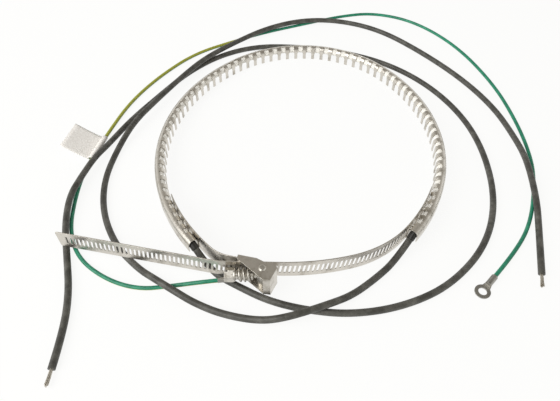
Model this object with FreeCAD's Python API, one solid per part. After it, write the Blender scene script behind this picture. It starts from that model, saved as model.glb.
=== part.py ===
import FreeCAD, Part
import math
import os

from FreeCAD import Vector

# Belly band crankcase heater, lying on its edge on a table. Millimetres and degrees, +Z up.
# The ring is modelled standing level on the tips of its comb, in the ring's own frame, and is
# then tipped up at the front, where it rests on the black leads. The cords are in the table's frame.

# Heater channel: one stainless strip, folded over the heating rope, its inner side cut into a comb.
channel_width = 6.5
channel_height = 10.0
channel_sheet = 0.6
outer_wall_height = 7.5
far_bend_radius = 82.0          # of the outer face
far_bend_angle = 91.6
side_bend_radius = 130.0        # of the outer face
right_side_angle = 78.7
left_side_angle = 91.1
ring_turn = -6.5                # how far the far bend's crest is turned from square on
far_crest_x = 14.3              # crest of the far bend, in the ring's frame
far_crest_y = 101.7
finger_pitch = 7.0
finger_width = 4.0
finger_tip_width = 2.7
finger_shoulder = 5.4             # height at which a finger narrows
finger_shoulder_slope = 0.6
crown_flats = 4                 # flats that stand for the rounded fold
comb_cut_depth = 2.0              # from the inner face outwards, across the crown

# Heating rope and the sleeves that end it.
rope_diameter = 4.7
rope_clearance = 0.3
round_sides = 6                 # sides that stand for a round rope or cord
sleeve_diameter = 4.6
sleeve_inside = 3.5
sleeve_outside = 2.5
sleeve_height = 5.3             # of the sleeve's axis at the mouth of the channel
exit_slope = 27.0
sleeve_gap = 0.3

# Clamp band and strap.
band_width = 12.7
band_thickness = 0.6
band_foot = -0.15               # lower edge, from the tips of the comb
band_clearance = 0.2            # between the comb and the band on its inner side
overlap_length = 36.0           # of the band and of the strap inside the comb
slot_pitch = 2.55
slot_height = 6.5
slot_width = 1.3
plain_end = 4.0                 # without slots, at either end of the band
tail_length = 98.7              # beyond the screw's head
tail_bend_radius = 50.0
tail_turn = -10.5

# Buckle, in its own frame: x along the strap's end, y away from the viewer, z up.
buckle_x = -35.4                # left end of the strap's plate, in the ring's frame
buckle_y = -112.1
buckle_heading = -13.0
band_angle = 11.5               # between the strap's plate and the band under the screw
plate_length = 9.2
plate_lead_in = 5.0
saddle_sheet = 0.6
saddle_gap = 0.3                # above and below the strap, and behind it
ear_tip_out = 1.1
ear_corner_x = 16.6
ear_corner_out = 10.65
web_width = 3.9
web_rise = 0.35                 # of the web's far edge, towards the strap
cheek_x = 22.4
cheek_out = 2.3
rear_length = 10.3
waist_x = 15.5                    # where the ears' rear edge comes nearest to the pin
waist_out = 0.1
ear_heel_x = 20.8                 # the ears' rear corner, beside the band
ear_heel_out = -1.4
pin_x = 14.8
pin_out = 4.0
pin_diameter = 2.4
pin_head_diameter = 4.4
pin_head_height = 0.9
pin_depth = 3.0
running_clearance = 0.05
block_diameter = 6.2
block_end_clearance = 0.2

# Worm screw. Its axis is parallel to the band.
screw_height = 6.5              # of the axis, from the tips of the comb
screw_diameter = 7.6
thread_length = 10.0            # of the shank that carries the thread, left plain here
thread_chamfer = 0.8
thread_clearance = 0.4          # between the thread's crests and the band
neck_diameter = 3.2
neck_length = 4.4               # from the pin's axis to the start of the thread
flange_diameter = 7.6
flange_thickness = 0.9
head_across_flats = 7.0
head_length = 4.9
drive_slot_width = 1.2
drive_slot_depth = 1.6
clip_diameter = 4.8
clip_thickness = 0.6
clip_play = 0.1                 # between the clip and the floor of its recess
clip_floor = 1.6                # from the block's side down to the floor of the clip's recess
neck_overhang = 0.5             # of the neck beyond the clip

# Ground terminal on the strap.
tab_sheet = 0.5
tab_inset = 0.3                 # from the strap's left end of the plate
tab_width = 4.5
tab_height = 4.8
tab_foot = -0.85
tab_rivet_diameter = 2.0
tab_rivet_head_diameter = 3.4
tab_rivet_head_height = 0.8
tab_rivet_height = 1.9
barrel_out = 9.0
barrel_height = 0.62
barrel_length = 7.0
barrel_x = -9.2
barrel_turn = 20.0                # from the strap's plate
ground_lead_out = 9.0             # straight out of the barrel
barrel_diameter = 2.9
tongue_lead = 0.2               # of the tongue's corners, beyond and short of the barrel's axis
tongue_edge = 1.2
tongue_half = 2.0

# How the ring lies on the table.
tip_angle = 1.35
ring_x = 20.6                   # centre of the ring's frame, in the table's frame
ring_y = 12.1
far_foot_y = far_crest_y - channel_width + channel_sheet  # the tips of the comb, where it stands

# Cords.
lead_diameter = 3.9
ground_diameter = 2.4
strand_bundle_diameter = 2.2
strand_length = 9.0
ring_eye_diameter = 8.6
ring_hole_diameter = 4.7
ring_sheet = 0.8
ring_barrel_diameter = 3.6
ring_barrel_length = 7.0
ring_reach = 12.0               # from the end of the barrel to the middle of the eye
label_length = 22.0
label_width = 25.0
label_thickness = 0.4
label_loop_clearance = 0.5

SHARP_CORNERS = 1               # transition of a sweep whose runs meet in mitred corners

# Points of the cords' routes, in the table's frame, chosen on the photograph.
lead_left_route = [
    (-15.8, -107.6, 1.95),
    (1.6, -117.0, 1.95),
    (22.3, -122.6, 1.95),
    (46.0, -125.0, 1.95),
    (74.0, -120.3, 1.95),
    (101.8, -107.3, 1.95),
    (128.0, -81.1, 1.95),
    (142.9, -46.6, 1.95),
    (147.0, -3.8, 1.95),
    (140.9, 34.4, 1.95),
    (122.1, 71.3, 1.95),
    (93.1, 99.5, 1.95),
    (57.4, 115.5, 1.95),
    (20.2, 122.5, 1.95),
    (-12.4, 122.5, 1.95),
    (-41.4, 109.7, 1.95),
    (-65.9, 85.6, 1.95),
    (-82.7, 57.8, 1.95),
    (-99.5, 29.2, 1.95),
    (-110.4, 3.6, 1.95),
    (-115.1, -12.3, 5.4),
    (-119.5, -30.0, 5.4),
    (-122.7, -45.6, 5.2),
    (-120.5, -67.1, 3.4),
    (-113.3, -89.9, 1.95),
    (-106.2, -112.0, 1.95),
    (-103.0, -134.1, 1.95),
    (-103.3, -154.2, 1.95),
]
lead_right_route = [
    (60.8, -103.2, 1.95),
    (47.2, -113.7, 2.4),
    (34.5, -121.0, 6.4),
    (12.3, -128.8, 6.4),
    (-2.9, -129.0, 2.4),
    (-22.7, -124.8, 1.95),
    (-37.8, -118.4, 2.4),
    (-48.3, -112.8, 4.7),
    (-59.6, -105.6, 4.7),
    (-71.6, -96.8, 1.95),
    (-87.6, -81.0, 1.95),
    (-100.4, -57.0, 1.95),
    (-105.8, -29.6, 1.95),
    (-103.1, -1.5, 1.95),
    (-95.4, 21.0, 6.4),
    (-85.3, 42.1, 6.4),
    (-67.2, 75.8, 6.4),
    (-52.2, 98.4, 7.0),
    (-30.9, 123.3, 4.8),
    (-2.9, 146.8, 4.8),
    (29.7, 160.1, 4.8),
    (64.0, 162.0, 2.4),
    (96.5, 146.9, 1.95),
    (125.5, 114.6, 1.95),
    (150.5, 78.5, 1.95),
    (166.5, 42.7, 1.95),
    (172.1, 10.2, 1.95),
    (171.7, -14.7, 4.8),
    (167.0, -48.0, 4.8),
    (161.6, -72.1, 1.95),
    (153.6, -100.3, 1.95),
]
ground_route = [
    (-51.1, -107.4, 1.2),
    (-68.9, -109.6, 1.2),
    (-88.1, -103.6, 1.2),
    (-107.2, -89.8, 1.2),
    (-116.9, -69.7, 1.2),
    (-119.8, -44.7, 1.2),
    (-120.8, -19.4, 1.7),
    (-112.3, 19.6, 1.7),
    (-103.9, 51.0, 1.2),
    (-87.2, 82.2, 1.2),
    (-63.0, 113.1, 1.2),
    (-32.4, 131.1, 1.2),
    (-5.1, 145.4, 1.2),
    (30.7, 159.4, 1.2),
    (61.8, 171.8, 1.2),
    (93.1, 177.8, 1.2),
    (127.8, 163.7, 1.2),
    (157.0, 125.7, 1.2),
    (174.2, 73.5, 1.2),
    (178.9, 28.2, 1.2),
    (177.7, -9.3, 1.2),
    (171.5, -34.1, 1.2),
    (160.1, -62.6, 1.2),
    (145.2, -83.8, 1.8),
]
ground_far_end = (127.0, -102.0)  # where the wire goes into the ring terminal


class PlanPath:
    """A line in plan, of straight runs and arcs that follow on smoothly. Headings are in degrees."""

    def __init__(self, x, y, heading):
        self.x = x
        self.y = y
        self.heading = heading
        self.runs = []

    def forward(self, length):
        """Adds a straight run."""
        self.runs.append((self.x, self.y, self.heading, None, 0.0, length))
        self.x += length * cosd(self.heading)
        self.y += length * sind(self.heading)
        return self

    def turn(self, radius, angle):
        """Adds an arc, to the left where the angle is positive."""
        side = math.copysign(1.0, angle)
        self.runs.append((self.x, self.y, self.heading, radius, angle, radius * math.radians(abs(angle))))
        centre_x = self.x - side * radius * sind(self.heading)
        centre_y = self.y + side * radius * cosd(self.heading)
        self.heading += angle
        self.x = centre_x + side * radius * sind(self.heading)
        self.y = centre_y - side * radius * cosd(self.heading)
        return self

    def turn_towards(self, x, y):
        """Adds the one arc that leads to a point."""
        chord = math.hypot(x - self.x, y - self.y)
        bearing = math.degrees(math.atan2(y - self.y, x - self.x))
        half_turn = (bearing - self.heading + 180.0) % 360.0 - 180.0
        if abs(half_turn) < 0.01:
            return self.forward(chord)
        return self.turn(chord / (2.0 * abs(sind(half_turn))), 2.0 * half_turn)

    def join(self, x, y, heading):
        """Adds two arcs that lead to a point and arrive on a heading."""
        across = Vector(x - self.x, y - self.y, 0)
        start = Vector(cosd(self.heading), sind(self.heading), 0)
        end = Vector(cosd(heading), sind(heading), 0)
        both = across.dot(start + end)
        spread = 2.0 * (1.0 - start.dot(end))
        reach = (math.sqrt(both * both + spread * across.dot(across)) - both) / spread
        middle = (Vector(self.x, self.y, 0) + Vector(x, y, 0) + (start - end) * reach) * 0.5
        return self.turn_towards(middle.x, middle.y).turn_towards(x, y)

    def length(self):
        return sum(run[5] for run in self.runs)

    def at(self, distance):
        """Gives x, y and heading at a distance along the path, also beyond either end."""
        for number, (x, y, heading, radius, angle, length) in enumerate(self.runs):
            if distance <= length or number == len(self.runs) - 1:
                walk = PlanPath(x, y, heading)
                if radius is None:
                    walk.forward(distance)
                else:
                    walk.turn(radius, angle * distance / length)
                return walk.x, walk.y, walk.heading
            distance -= length

    def shifted(self, left):
        """Gives the parallel path at a distance to the left."""
        x, y, heading = self.runs[0][:3]
        path = PlanPath(x - left * sind(heading), y + left * cosd(heading), heading)
        for _, _, _, radius, angle, length in self.runs:
            if radius is None:
                path.forward(length)
            else:
                path.turn(radius - math.copysign(left, angle), angle)
        return path

    def part(self, start, end):
        """Gives the stretch of the path between two distances along it."""
        x, y, heading = self.at(start)
        path = PlanPath(x, y, heading)
        passed = 0.0
        for _, _, _, radius, angle, length in self.runs:
            first = max(start, passed)
            last = min(end, passed + length)
            if last - first > 0.01:
                if radius is None:
                    path.forward(last - first)
                else:
                    path.turn(radius, angle * (last - first) / length)
            passed += length
        return path

    def backwards(self):
        """Gives the same path, walked from its end."""
        path = PlanPath(self.x, self.y, self.heading + 180.0)
        for _, _, _, radius, angle, length in reversed(self.runs):
            if radius is None:
                path.forward(length)
            else:
                path.turn(radius, -angle)
        return path

    def sweep(self, outline):
        """Sweeps a closed outline, drawn in the YZ plane with Y to the left, along the path."""
        solids = []
        for x, y, heading, radius, angle, length in self.runs:
            face = Part.Face(outline)
            face.rotate(Vector(0, 0, 0), Vector(0, 0, 1), heading)
            face.translate(Vector(x, y, 0))
            if radius is None:
                solids.append(face.extrude(Vector(length * cosd(heading), length * sind(heading), 0)))
            else:
                side = math.copysign(1.0, angle)
                centre = Vector(x - side * radius * sind(heading), y + side * radius * cosd(heading), 0)
                solids.append(face.revolve(centre, Vector(0, 0, side), abs(angle)))
        solid = solids[0]
        if len(solids) > 1:
            solid = solid.multiFuse(solids[1:])
        return solid


def cosd(angle):
    return math.cos(math.radians(angle))


def sind(angle):
    return math.sin(math.radians(angle))


def bearing(start, end):
    """Heading in plan from one point to another."""
    return math.degrees(math.atan2(end.y - start.y, end.x - start.x))


def polygon(points):
    return Part.makePolygon(points + points[:1])


def round_outline(diameter, centre, direction):
    """The plain section of a round rope or cord, with a corner each side."""
    turn = FreeCAD.Rotation(Vector(0, 0, 1), direction)
    angles = [360.0 * (number + 0.5) / round_sides for number in range(round_sides)]
    corners = [Vector(cosd(angle), sind(angle), 0) * (diameter / 2.0) for angle in angles]
    return polygon([centre + turn.multVec(corner) for corner in corners])


def rectangle_outline(left, right, bottom, top):
    """A rectangle in the YZ plane, for a sweep."""
    return polygon([Vector(0, left, bottom), Vector(0, right, bottom), Vector(0, right, top), Vector(0, left, top)])


def turned_part(profile):
    """Revolves a half profile of (x, radius) pairs about the X axis."""
    face = Part.Face(polygon([Vector(x, radius, 0) for x, radius in profile]))
    return face.revolve(Vector(0, 0, 0), Vector(1, 0, 0), 360)


def plate(points, bottom, thickness):
    """A flat plate from its outline in plan."""
    face = Part.Face(polygon([Vector(x, y, bottom) for x, y in points]))
    return face.extrude(Vector(0, 0, thickness))


def tipped(shape):
    """Takes a shape from the ring's frame to the table's, lifted at the front."""
    placed = shape.copy()
    placed.rotate(Vector(0, far_foot_y, 0), Vector(1, 0, 0), -tip_angle)
    placed.translate(Vector(ring_x, ring_y, 0))
    return placed


def tipped_point(point):
    moved = FreeCAD.Rotation(Vector(1, 0, 0), -tip_angle).multVec(point - Vector(0, far_foot_y, 0))
    return moved + Vector(ring_x, ring_y + far_foot_y, 0)


def tipped_direction(direction):
    return FreeCAD.Rotation(Vector(1, 0, 0), -tip_angle).multVec(direction)


def at_buckle(shape):
    """Takes a shape from the buckle's frame to the ring's."""
    placed = shape.copy()
    placed.rotate(Vector(0, 0, 0), Vector(0, 0, 1), buckle_heading)
    placed.translate(Vector(buckle_x, buckle_y, 0))
    return placed


def buckle_point(x, out):
    """A point in plan of the buckle's frame, in the ring's frame."""
    return (
        buckle_x + x * cosd(buckle_heading) + out * sind(buckle_heading),
        buckle_y + x * sind(buckle_heading) - out * cosd(buckle_heading),
    )


def at_screw(shape):
    """Takes a shape from the screw's frame, its axis along X and its pin at the origin, to the buckle's."""
    placed = shape.copy()
    placed.rotate(Vector(0, 0, 0), Vector(0, 0, 1), band_angle)
    placed.translate(Vector(pin_x, -pin_out, screw_height))
    return placed


def ring_path():
    """The middle of the channel in plan, from its right end round the far side to its left end."""
    half = channel_width / 2.0
    crest = PlanPath(far_crest_x - half * -sind(ring_turn), far_crest_y - half * cosd(ring_turn), ring_turn)
    crest.turn(far_bend_radius - half, -far_bend_angle / 2.0)
    crest.turn(side_bend_radius - half, -right_side_angle)
    path = PlanPath(crest.x, crest.y, crest.heading + 180.0)
    path.turn(side_bend_radius - half, right_side_angle)
    path.turn(far_bend_radius - half, far_bend_angle)
    path.turn(side_bend_radius - half, left_side_angle)
    return path


def fold_points(radius):
    """Corners of the fold, from its outer side over the crown to its inner side."""
    spring = channel_height - channel_width / 2.0
    angles = [180.0 * number / crown_flats for number in range(crown_flats + 1)]
    return [Vector(0, -radius * cosd(angle), spring + radius * sind(angle)) for angle in angles]


def channel_outline():
    half = channel_width / 2.0
    inside = half - channel_sheet
    foot = channel_height - outer_wall_height
    outer = [Vector(0, -half, foot)] + fold_points(half) + [Vector(0, half, 0)]
    inner = [Vector(0, inside, 0)] + fold_points(inside)[::-1] + [Vector(0, -inside, foot)]
    return polygon(outer + inner)


def comb_gap(path, distance):
    """The wedge between two fingers, cut through the inner side of the channel."""
    start = channel_width / 2.0 - comb_cut_depth
    top = channel_height + 1.0
    half_top = (finger_pitch - finger_width) / 2.0
    half_bottom = (finger_pitch - finger_tip_width) / 2.0
    gap = Part.Face(polygon([
        Vector(-half_top, start, top),
        Vector(half_top, start, top),
        Vector(half_top, start, finger_shoulder),
        Vector(half_bottom, start, finger_shoulder - finger_shoulder_slope),
        Vector(half_bottom, start, -1.0),
        Vector(-half_bottom, start, -1.0),
        Vector(-half_bottom, start, finger_shoulder - finger_shoulder_slope),
        Vector(-half_top, start, finger_shoulder),
    ])).extrude(Vector(0, channel_width, 0))
    x, y, heading = path.at(distance)
    gap.rotate(Vector(0, 0, 0), Vector(0, 0, 1), heading)
    gap.translate(Vector(x, y, 0))
    return gap


def heater_channel(path):
    """The folded strip: straight from gap to gap of the comb, and bent at each gap."""
    inner_length = path.shifted(channel_width / 2.0).length()
    stretch = path.length() / inner_length
    gaps = int((inner_length - finger_width) / finger_pitch)
    first = (inner_length - (gaps - 1) * finger_pitch) / 2.0
    places = [(first + number * finger_pitch) * stretch for number in range(gaps)]
    plan = [path.at(distance) for distance in [0.0] + places + [path.length()]]
    corners = [Vector(x, y, 0) for x, y, _ in plan]
    outline = channel_outline()
    outline.rotate(Vector(0, 0, 0), Vector(0, 0, 1), bearing(corners[0], corners[1]))
    outline.translate(corners[0])
    channel = Part.makePolygon(corners).makePipeShell([outline], True, False, SHARP_CORNERS)
    return channel.cut([comb_gap(path, place) for place in places])


def sleeve_reach():
    """How far back along the channel the sloping sleeve comes."""
    return sleeve_inside * cosd(exit_slope) + sleeve_diameter / 2.0 * sind(exit_slope)


def heating_rope(path):
    inset = sleeve_reach() + sleeve_gap
    height = channel_height - channel_sheet - rope_clearance - rope_diameter / 2.0
    stretch = path.part(inset, path.length() - inset)
    return stretch.sweep(round_outline(rope_diameter, Vector(0, 0, height), Vector(1, 0, 0)))


def exit_axis(x, y, heading):
    """Mouth and direction of a sleeve, in the ring's frame."""
    mouth = Vector(x, y, sleeve_height)
    direction = Vector(cosd(heading) * cosd(exit_slope), sind(heading) * cosd(exit_slope), -sind(exit_slope))
    return mouth, direction


def end_sleeve(mouth, direction):
    back = mouth - direction * sleeve_inside
    return Part.makeCylinder(sleeve_diameter / 2.0, sleeve_inside + sleeve_outside, back, direction)


def band_outline():
    half = band_thickness / 2.0
    return rectangle_outline(-half, half, band_foot, band_foot + band_width)


def inner_side(path):
    """Where a band lies on the inner side of the comb."""
    return path.shifted(channel_width / 2.0 + band_clearance + band_thickness / 2.0)


def left_strap(path):
    """The plain strap, from inside the left end of the comb to the buckle's plate."""
    inner = inner_side(path)
    strap = inner.part(inner.length() - overlap_length, inner.length())
    x, y = buckle_point(-plate_lead_in, -band_thickness / 2.0)
    strap.join(x, y, buckle_heading)
    strap.forward(plate_lead_in + plate_length)
    return strap.sweep(band_outline())


def slotted_band_path(path):
    """The slotted band, from inside the right end of the comb, under the screw, to its free tail."""
    inner = inner_side(path)
    band = inner.part(0.0, overlap_length).backwards()
    screw_offset = screw_diameter / 2.0 + thread_clearance + band_thickness / 2.0
    entry_x = cheek_x - pin_x
    out = pin_out - screw_offset / cosd(band_angle) - entry_x * sind(band_angle) / cosd(band_angle)
    x, y = buckle_point(cheek_x, out)
    band.join(x, y, buckle_heading + band_angle + 180.0)
    band.forward((entry_x + neck_length + thread_length + flange_thickness + head_length) / cosd(band_angle))
    band.turn(tail_bend_radius, tail_turn)
    band.forward(tail_length - tail_bend_radius * math.radians(abs(tail_turn)))
    return band


def slotted_band(band):
    solid = band.sweep(band_outline())
    slots = []
    count = int((band.length() - 2.0 * plain_end) / slot_pitch)
    first = (band.length() - (count - 1) * slot_pitch) / 2.0
    for number in range(count):
        x, y, heading = band.at(first + number * slot_pitch)
        slot = Part.makeBox(slot_width, 4.0 * band_thickness, slot_height)
        slot.translate(Vector(-slot_width / 2.0, -2.0 * band_thickness, -slot_height / 2.0))
        slot.rotate(Vector(0, 0, 0), Vector(0, 0, 1), heading)
        slot.translate(Vector(x, y, band_foot + band_width / 2.0))
        slots.append(slot)
    return solid.cut(slots)


def saddle():
    """The folded bracket that holds the screw's pin: a back, two ears and a web that joins them."""
    back = band_thickness + saddle_gap
    bottom = band_foot - saddle_gap - saddle_sheet
    height = band_width + 2.0 * (saddle_gap + saddle_sheet)
    ear = [
        (0.0, back + saddle_sheet),
        (0.0, -ear_tip_out),
        (ear_corner_x, -ear_corner_out),
        (ear_corner_x + web_width, -ear_corner_out + web_rise),
        (cheek_x, -cheek_out),
        (ear_heel_x, -ear_heel_out),
        (waist_x, -waist_out),
        (rear_length, back + saddle_sheet),
    ]
    ears = [plate(ear, bottom, saddle_sheet), plate(ear, bottom + height - saddle_sheet, saddle_sheet)]
    rear = Part.makeBox(rear_length, saddle_sheet, height, Vector(0, back, bottom))
    web = plate([
        (ear_corner_x, -ear_corner_out),
        (ear_corner_x + web_width, -ear_corner_out + web_rise),
        (cheek_x, -cheek_out),
        (cheek_x - saddle_sheet, -cheek_out - saddle_sheet / 4.0),
        (ear_corner_x + web_width - saddle_sheet / 2.0, -ear_corner_out + web_rise + saddle_sheet),
        (ear_corner_x, -ear_corner_out + saddle_sheet),
    ], bottom, height)
    bracket = ears[0].multiFuse([ears[1], rear, web])
    hole = Part.makeCylinder(pin_diameter / 2.0, height + 2.0, Vector(pin_x, -pin_out, bottom - 1.0))
    return bracket.cut(hole).removeSplitter()


def saddle_span():
    """Lower and upper inner faces of the saddle's ears."""
    return band_foot - saddle_gap, band_foot + band_width + saddle_gap


def pivot_pin(upper):
    """A short rivet through one ear into the end of the swivel block."""
    low, high = saddle_span()
    pin = turned_part([
        (-pin_depth, 0.0),
        (-pin_depth, pin_diameter / 2.0),
        (saddle_sheet, pin_diameter / 2.0),
        (saddle_sheet, pin_head_diameter / 2.0),
        (saddle_sheet + pin_head_height, pin_head_diameter / 3.0),
        (saddle_sheet + pin_head_height, 0.0),
    ])
    if upper:
        pin.rotate(Vector(0, 0, 0), Vector(0, 1, 0), -90)
        pin.translate(Vector(pin_x, -pin_out, high))
    else:
        pin.rotate(Vector(0, 0, 0), Vector(0, 1, 0), 90)
        pin.translate(Vector(pin_x, -pin_out, low))
    return pin


def swivel_block():
    """The barrel that turns on the two pins and carries the neck of the screw."""
    low, high = saddle_span()
    bottom = low + block_end_clearance
    top = high - block_end_clearance
    block = Part.makeCylinder(block_diameter / 2.0, top - bottom, Vector(pin_x, -pin_out, bottom))
    bore = Part.makeCylinder(pin_diameter / 2.0 + running_clearance, pin_depth, Vector(pin_x, -pin_out, bottom))
    upper_bore = Part.makeCylinder(
        pin_diameter / 2.0 + running_clearance, pin_depth, Vector(pin_x, -pin_out, top - pin_depth)
    )
    neck = Part.makeCylinder(
        neck_diameter / 2.0 + running_clearance, block_diameter + 2.0,
        Vector(-block_diameter / 2.0 - 1.0, 0, 0), Vector(1, 0, 0),
    )
    recess = Part.makeCylinder(
        clip_diameter / 2.0 + running_clearance, block_diameter, Vector(clip_seat(), 0, 0), Vector(1, 0, 0)
    )
    return block.cut([bore, upper_bore, at_screw(neck), at_screw(recess)])


def clip_seat():
    """Floor of the recess for the clip, along the screw's axis from the pin."""
    return block_diameter / 2.0 - clip_floor


def worm_screw():
    """Slotted hexagon head, flange, thread and the neck that runs in the swivel block."""
    thread_start = -neck_length - thread_length
    flange_start = thread_start - flange_thickness
    head_start = flange_start - head_length
    crest = screw_diameter / 2.0
    neck = neck_diameter / 2.0
    tip = clip_seat() + clip_play + clip_thickness + neck_overhang
    shank = turned_part([
        (flange_start, 0.0),
        (flange_start, flange_diameter / 2.0),
        (thread_start, flange_diameter / 2.0),
        (thread_start, crest - thread_chamfer),
        (thread_start + thread_chamfer, crest),
        (-neck_length - thread_chamfer, crest),
        (-neck_length, crest - thread_chamfer),
        (-neck_length, neck),
        (tip, neck),
        (tip, 0.0),
    ])
    corner = head_across_flats / 2.0 / cosd(30)
    hexagon = Part.Face(polygon([
        Vector(head_start, corner * cosd(60 * number), corner * sind(60 * number)) for number in range(6)
    ])).extrude(Vector(head_length, 0, 0))
    slot = Part.makeBox(
        drive_slot_depth + 1.0, drive_slot_width, 2.0 * corner + 1.0,
        Vector(head_start - 1.0, -drive_slot_width / 2.0, -corner - 0.5),
    )
    return shank.fuse(hexagon.cut(slot)).removeSplitter()


def screw_clip():
    """The ring in the block's recess that keeps the screw in."""
    seat = clip_seat() + clip_play
    ring = Part.makeCylinder(clip_diameter / 2.0, clip_thickness, Vector(seat, 0, 0), Vector(1, 0, 0))
    return ring.cut(Part.makeCylinder(neck_diameter / 2.0, clip_thickness, Vector(seat, 0, 0), Vector(1, 0, 0)))


def ground_terminal():
    """A tab on the strap, bent out under the band, with a crimp barrel for the ground wire."""
    left = -tab_inset - tab_width
    flange = Part.makeBox(tab_width, tab_sheet, tab_height, Vector(left, -tab_sheet, tab_foot))
    end_x = barrel_x + barrel_length * cosd(barrel_turn)
    end_out = barrel_out - barrel_length * sind(barrel_turn)
    tongue = plate([
        (-tab_inset, 0.0),
        (left, 0.0),
        (end_x - tongue_half, -end_out + tongue_lead),
        (end_x - tongue_half, -end_out - tongue_edge),
        (end_x + tongue_half / 3.0, -end_out - tongue_edge),
        (end_x + tongue_half, -end_out + tongue_half / 2.0),
    ], tab_foot, tab_sheet)
    hole = Part.makeCylinder(
        tab_rivet_diameter / 2.0, 3.0 * tab_sheet,
        Vector(left + tab_width / 2.0, -2.0 * tab_sheet, tab_rivet_height), Vector(0, 1, 0),
    )
    barrel = Part.makeCylinder(
        barrel_diameter / 2.0, barrel_length, Vector(barrel_x, -barrel_out, barrel_height),
        Vector(cosd(barrel_turn), sind(barrel_turn), 0),
    )
    return flange.multiFuse([tongue, barrel]).cut(hole).removeSplitter()


def ground_rivet():
    """Holds the tab on the strap."""
    radius = tab_rivet_diameter / 2.0
    rivet = turned_part([
        (0.0, 0.0),
        (0.0, radius),
        (tab_sheet, radius),
        (tab_sheet, tab_rivet_head_diameter / 2.0),
        (tab_sheet + tab_rivet_head_height, radius),
        (tab_sheet + tab_rivet_head_height, 0.0),
    ])
    rivet.rotate(Vector(0, 0, 0), Vector(0, 0, 1), -90)
    rivet.translate(Vector(-tab_inset - tab_width / 2.0, 0, tab_rivet_height))
    return rivet


def route_wire(points):
    """Straight runs joined by tangent arcs."""
    edges = []
    start = points[0]
    radii = []
    for before, corner, after in zip(points, points[1:], points[2:]):
        back = before - corner
        ahead = after - corner
        reach = 0.45 * min(back.Length, ahead.Length)
        back.normalize()
        ahead.normalize()
        half_turn = (math.pi - back.getAngle(ahead)) / 2.0
        radius = reach / math.tan(half_turn)
        inward = (back + ahead).normalize()
        arc_start = corner + back * reach
        arc_end = corner + ahead * reach
        arc_middle = corner + inward * (radius / math.cos(half_turn) - radius)
        edges.append(Part.makeLine(start, arc_start))
        edges.append(Part.Arc(arc_start, arc_middle, arc_end).toShape())
        radii.append(radius)
        start = arc_end
    edges.append(Part.makeLine(start, points[-1]))
    return Part.Wire(edges), radii


def cord(name, points, diameter):
    """A round cord along its route."""
    route, radii = route_wire(points)
    start_direction = points[1] - points[0]
    outline = round_outline(diameter, points[0], start_direction)
    solid = route.makePipeShell([outline], True, False)
    expected = Part.Face(outline).Area * route.Length
    print(
        name, "length", round(route.Length, 1), "least radius", round(min(radii), 1),
        "volume ratio", round(solid.Volume / expected, 4), "valid", solid.isValid(),
    )
    return solid


def cord_vectors(route):
    return [Vector(x, y, z) for x, y, z in route]


def strands(end, before):
    """The bared wires at the end of a lead, as a slightly spread bundle."""
    direction = (end - before).normalize()
    outline = round_outline(strand_bundle_diameter, end, direction)
    return Part.Face(outline).extrude(direction * strand_length)


def ring_terminal(end, before):
    """Crimp barrel and flat eye at the far end of the ground wire, lying on the table."""
    eye = Part.makeCylinder(ring_eye_diameter / 2.0, ring_sheet, Vector(ring_reach, 0, 0))
    tongue = plate([
        (ring_barrel_length * 0.6, -ring_barrel_diameter * 0.4),
        (ring_barrel_length * 0.6, ring_barrel_diameter * 0.4),
        (ring_reach, ring_eye_diameter * 0.36),
        (ring_reach, -ring_eye_diameter * 0.36),
    ], 0.0, ring_sheet)
    barrel = Part.makeCylinder(
        ring_barrel_diameter / 2.0, ring_barrel_length, Vector(0, 0, ring_barrel_diameter / 2.0), Vector(1, 0, 0)
    )
    hole = Part.makeCylinder(ring_hole_diameter / 2.0, 3.0 * ring_sheet, Vector(ring_reach, 0, -ring_sheet))
    terminal = eye.multiFuse([tongue, barrel]).cut(hole).removeSplitter()
    terminal.rotate(Vector(0, 0, 0), Vector(0, 0, 1), bearing(before, end))
    terminal.translate(Vector(end.x, end.y, 0))
    return terminal


def label_flag(before, after):
    """A paper label folded round the ground wire and stuck to itself."""
    middle = (before + after) * 0.5
    inner = ground_diameter / 2.0 + label_loop_clearance
    outer = inner + label_thickness / 2.0
    start = Vector(-label_length / 2.0, 0, 0)
    loop = Part.makeCylinder(outer, label_length, start, Vector(1, 0, 0))
    flag = Part.makeBox(
        label_length, label_width - outer, label_thickness,
        start + Vector(0, outer - label_thickness, -label_thickness / 2.0),
    )
    flag = loop.fuse(flag).cut(Part.makeCylinder(inner, label_length, start, Vector(1, 0, 0)))
    flag.rotate(Vector(0, 0, 0), Vector(0, 0, 1), bearing(before, after))
    flag.translate(Vector(middle.x, middle.y, outer))
    return flag.removeSplitter()


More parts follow.
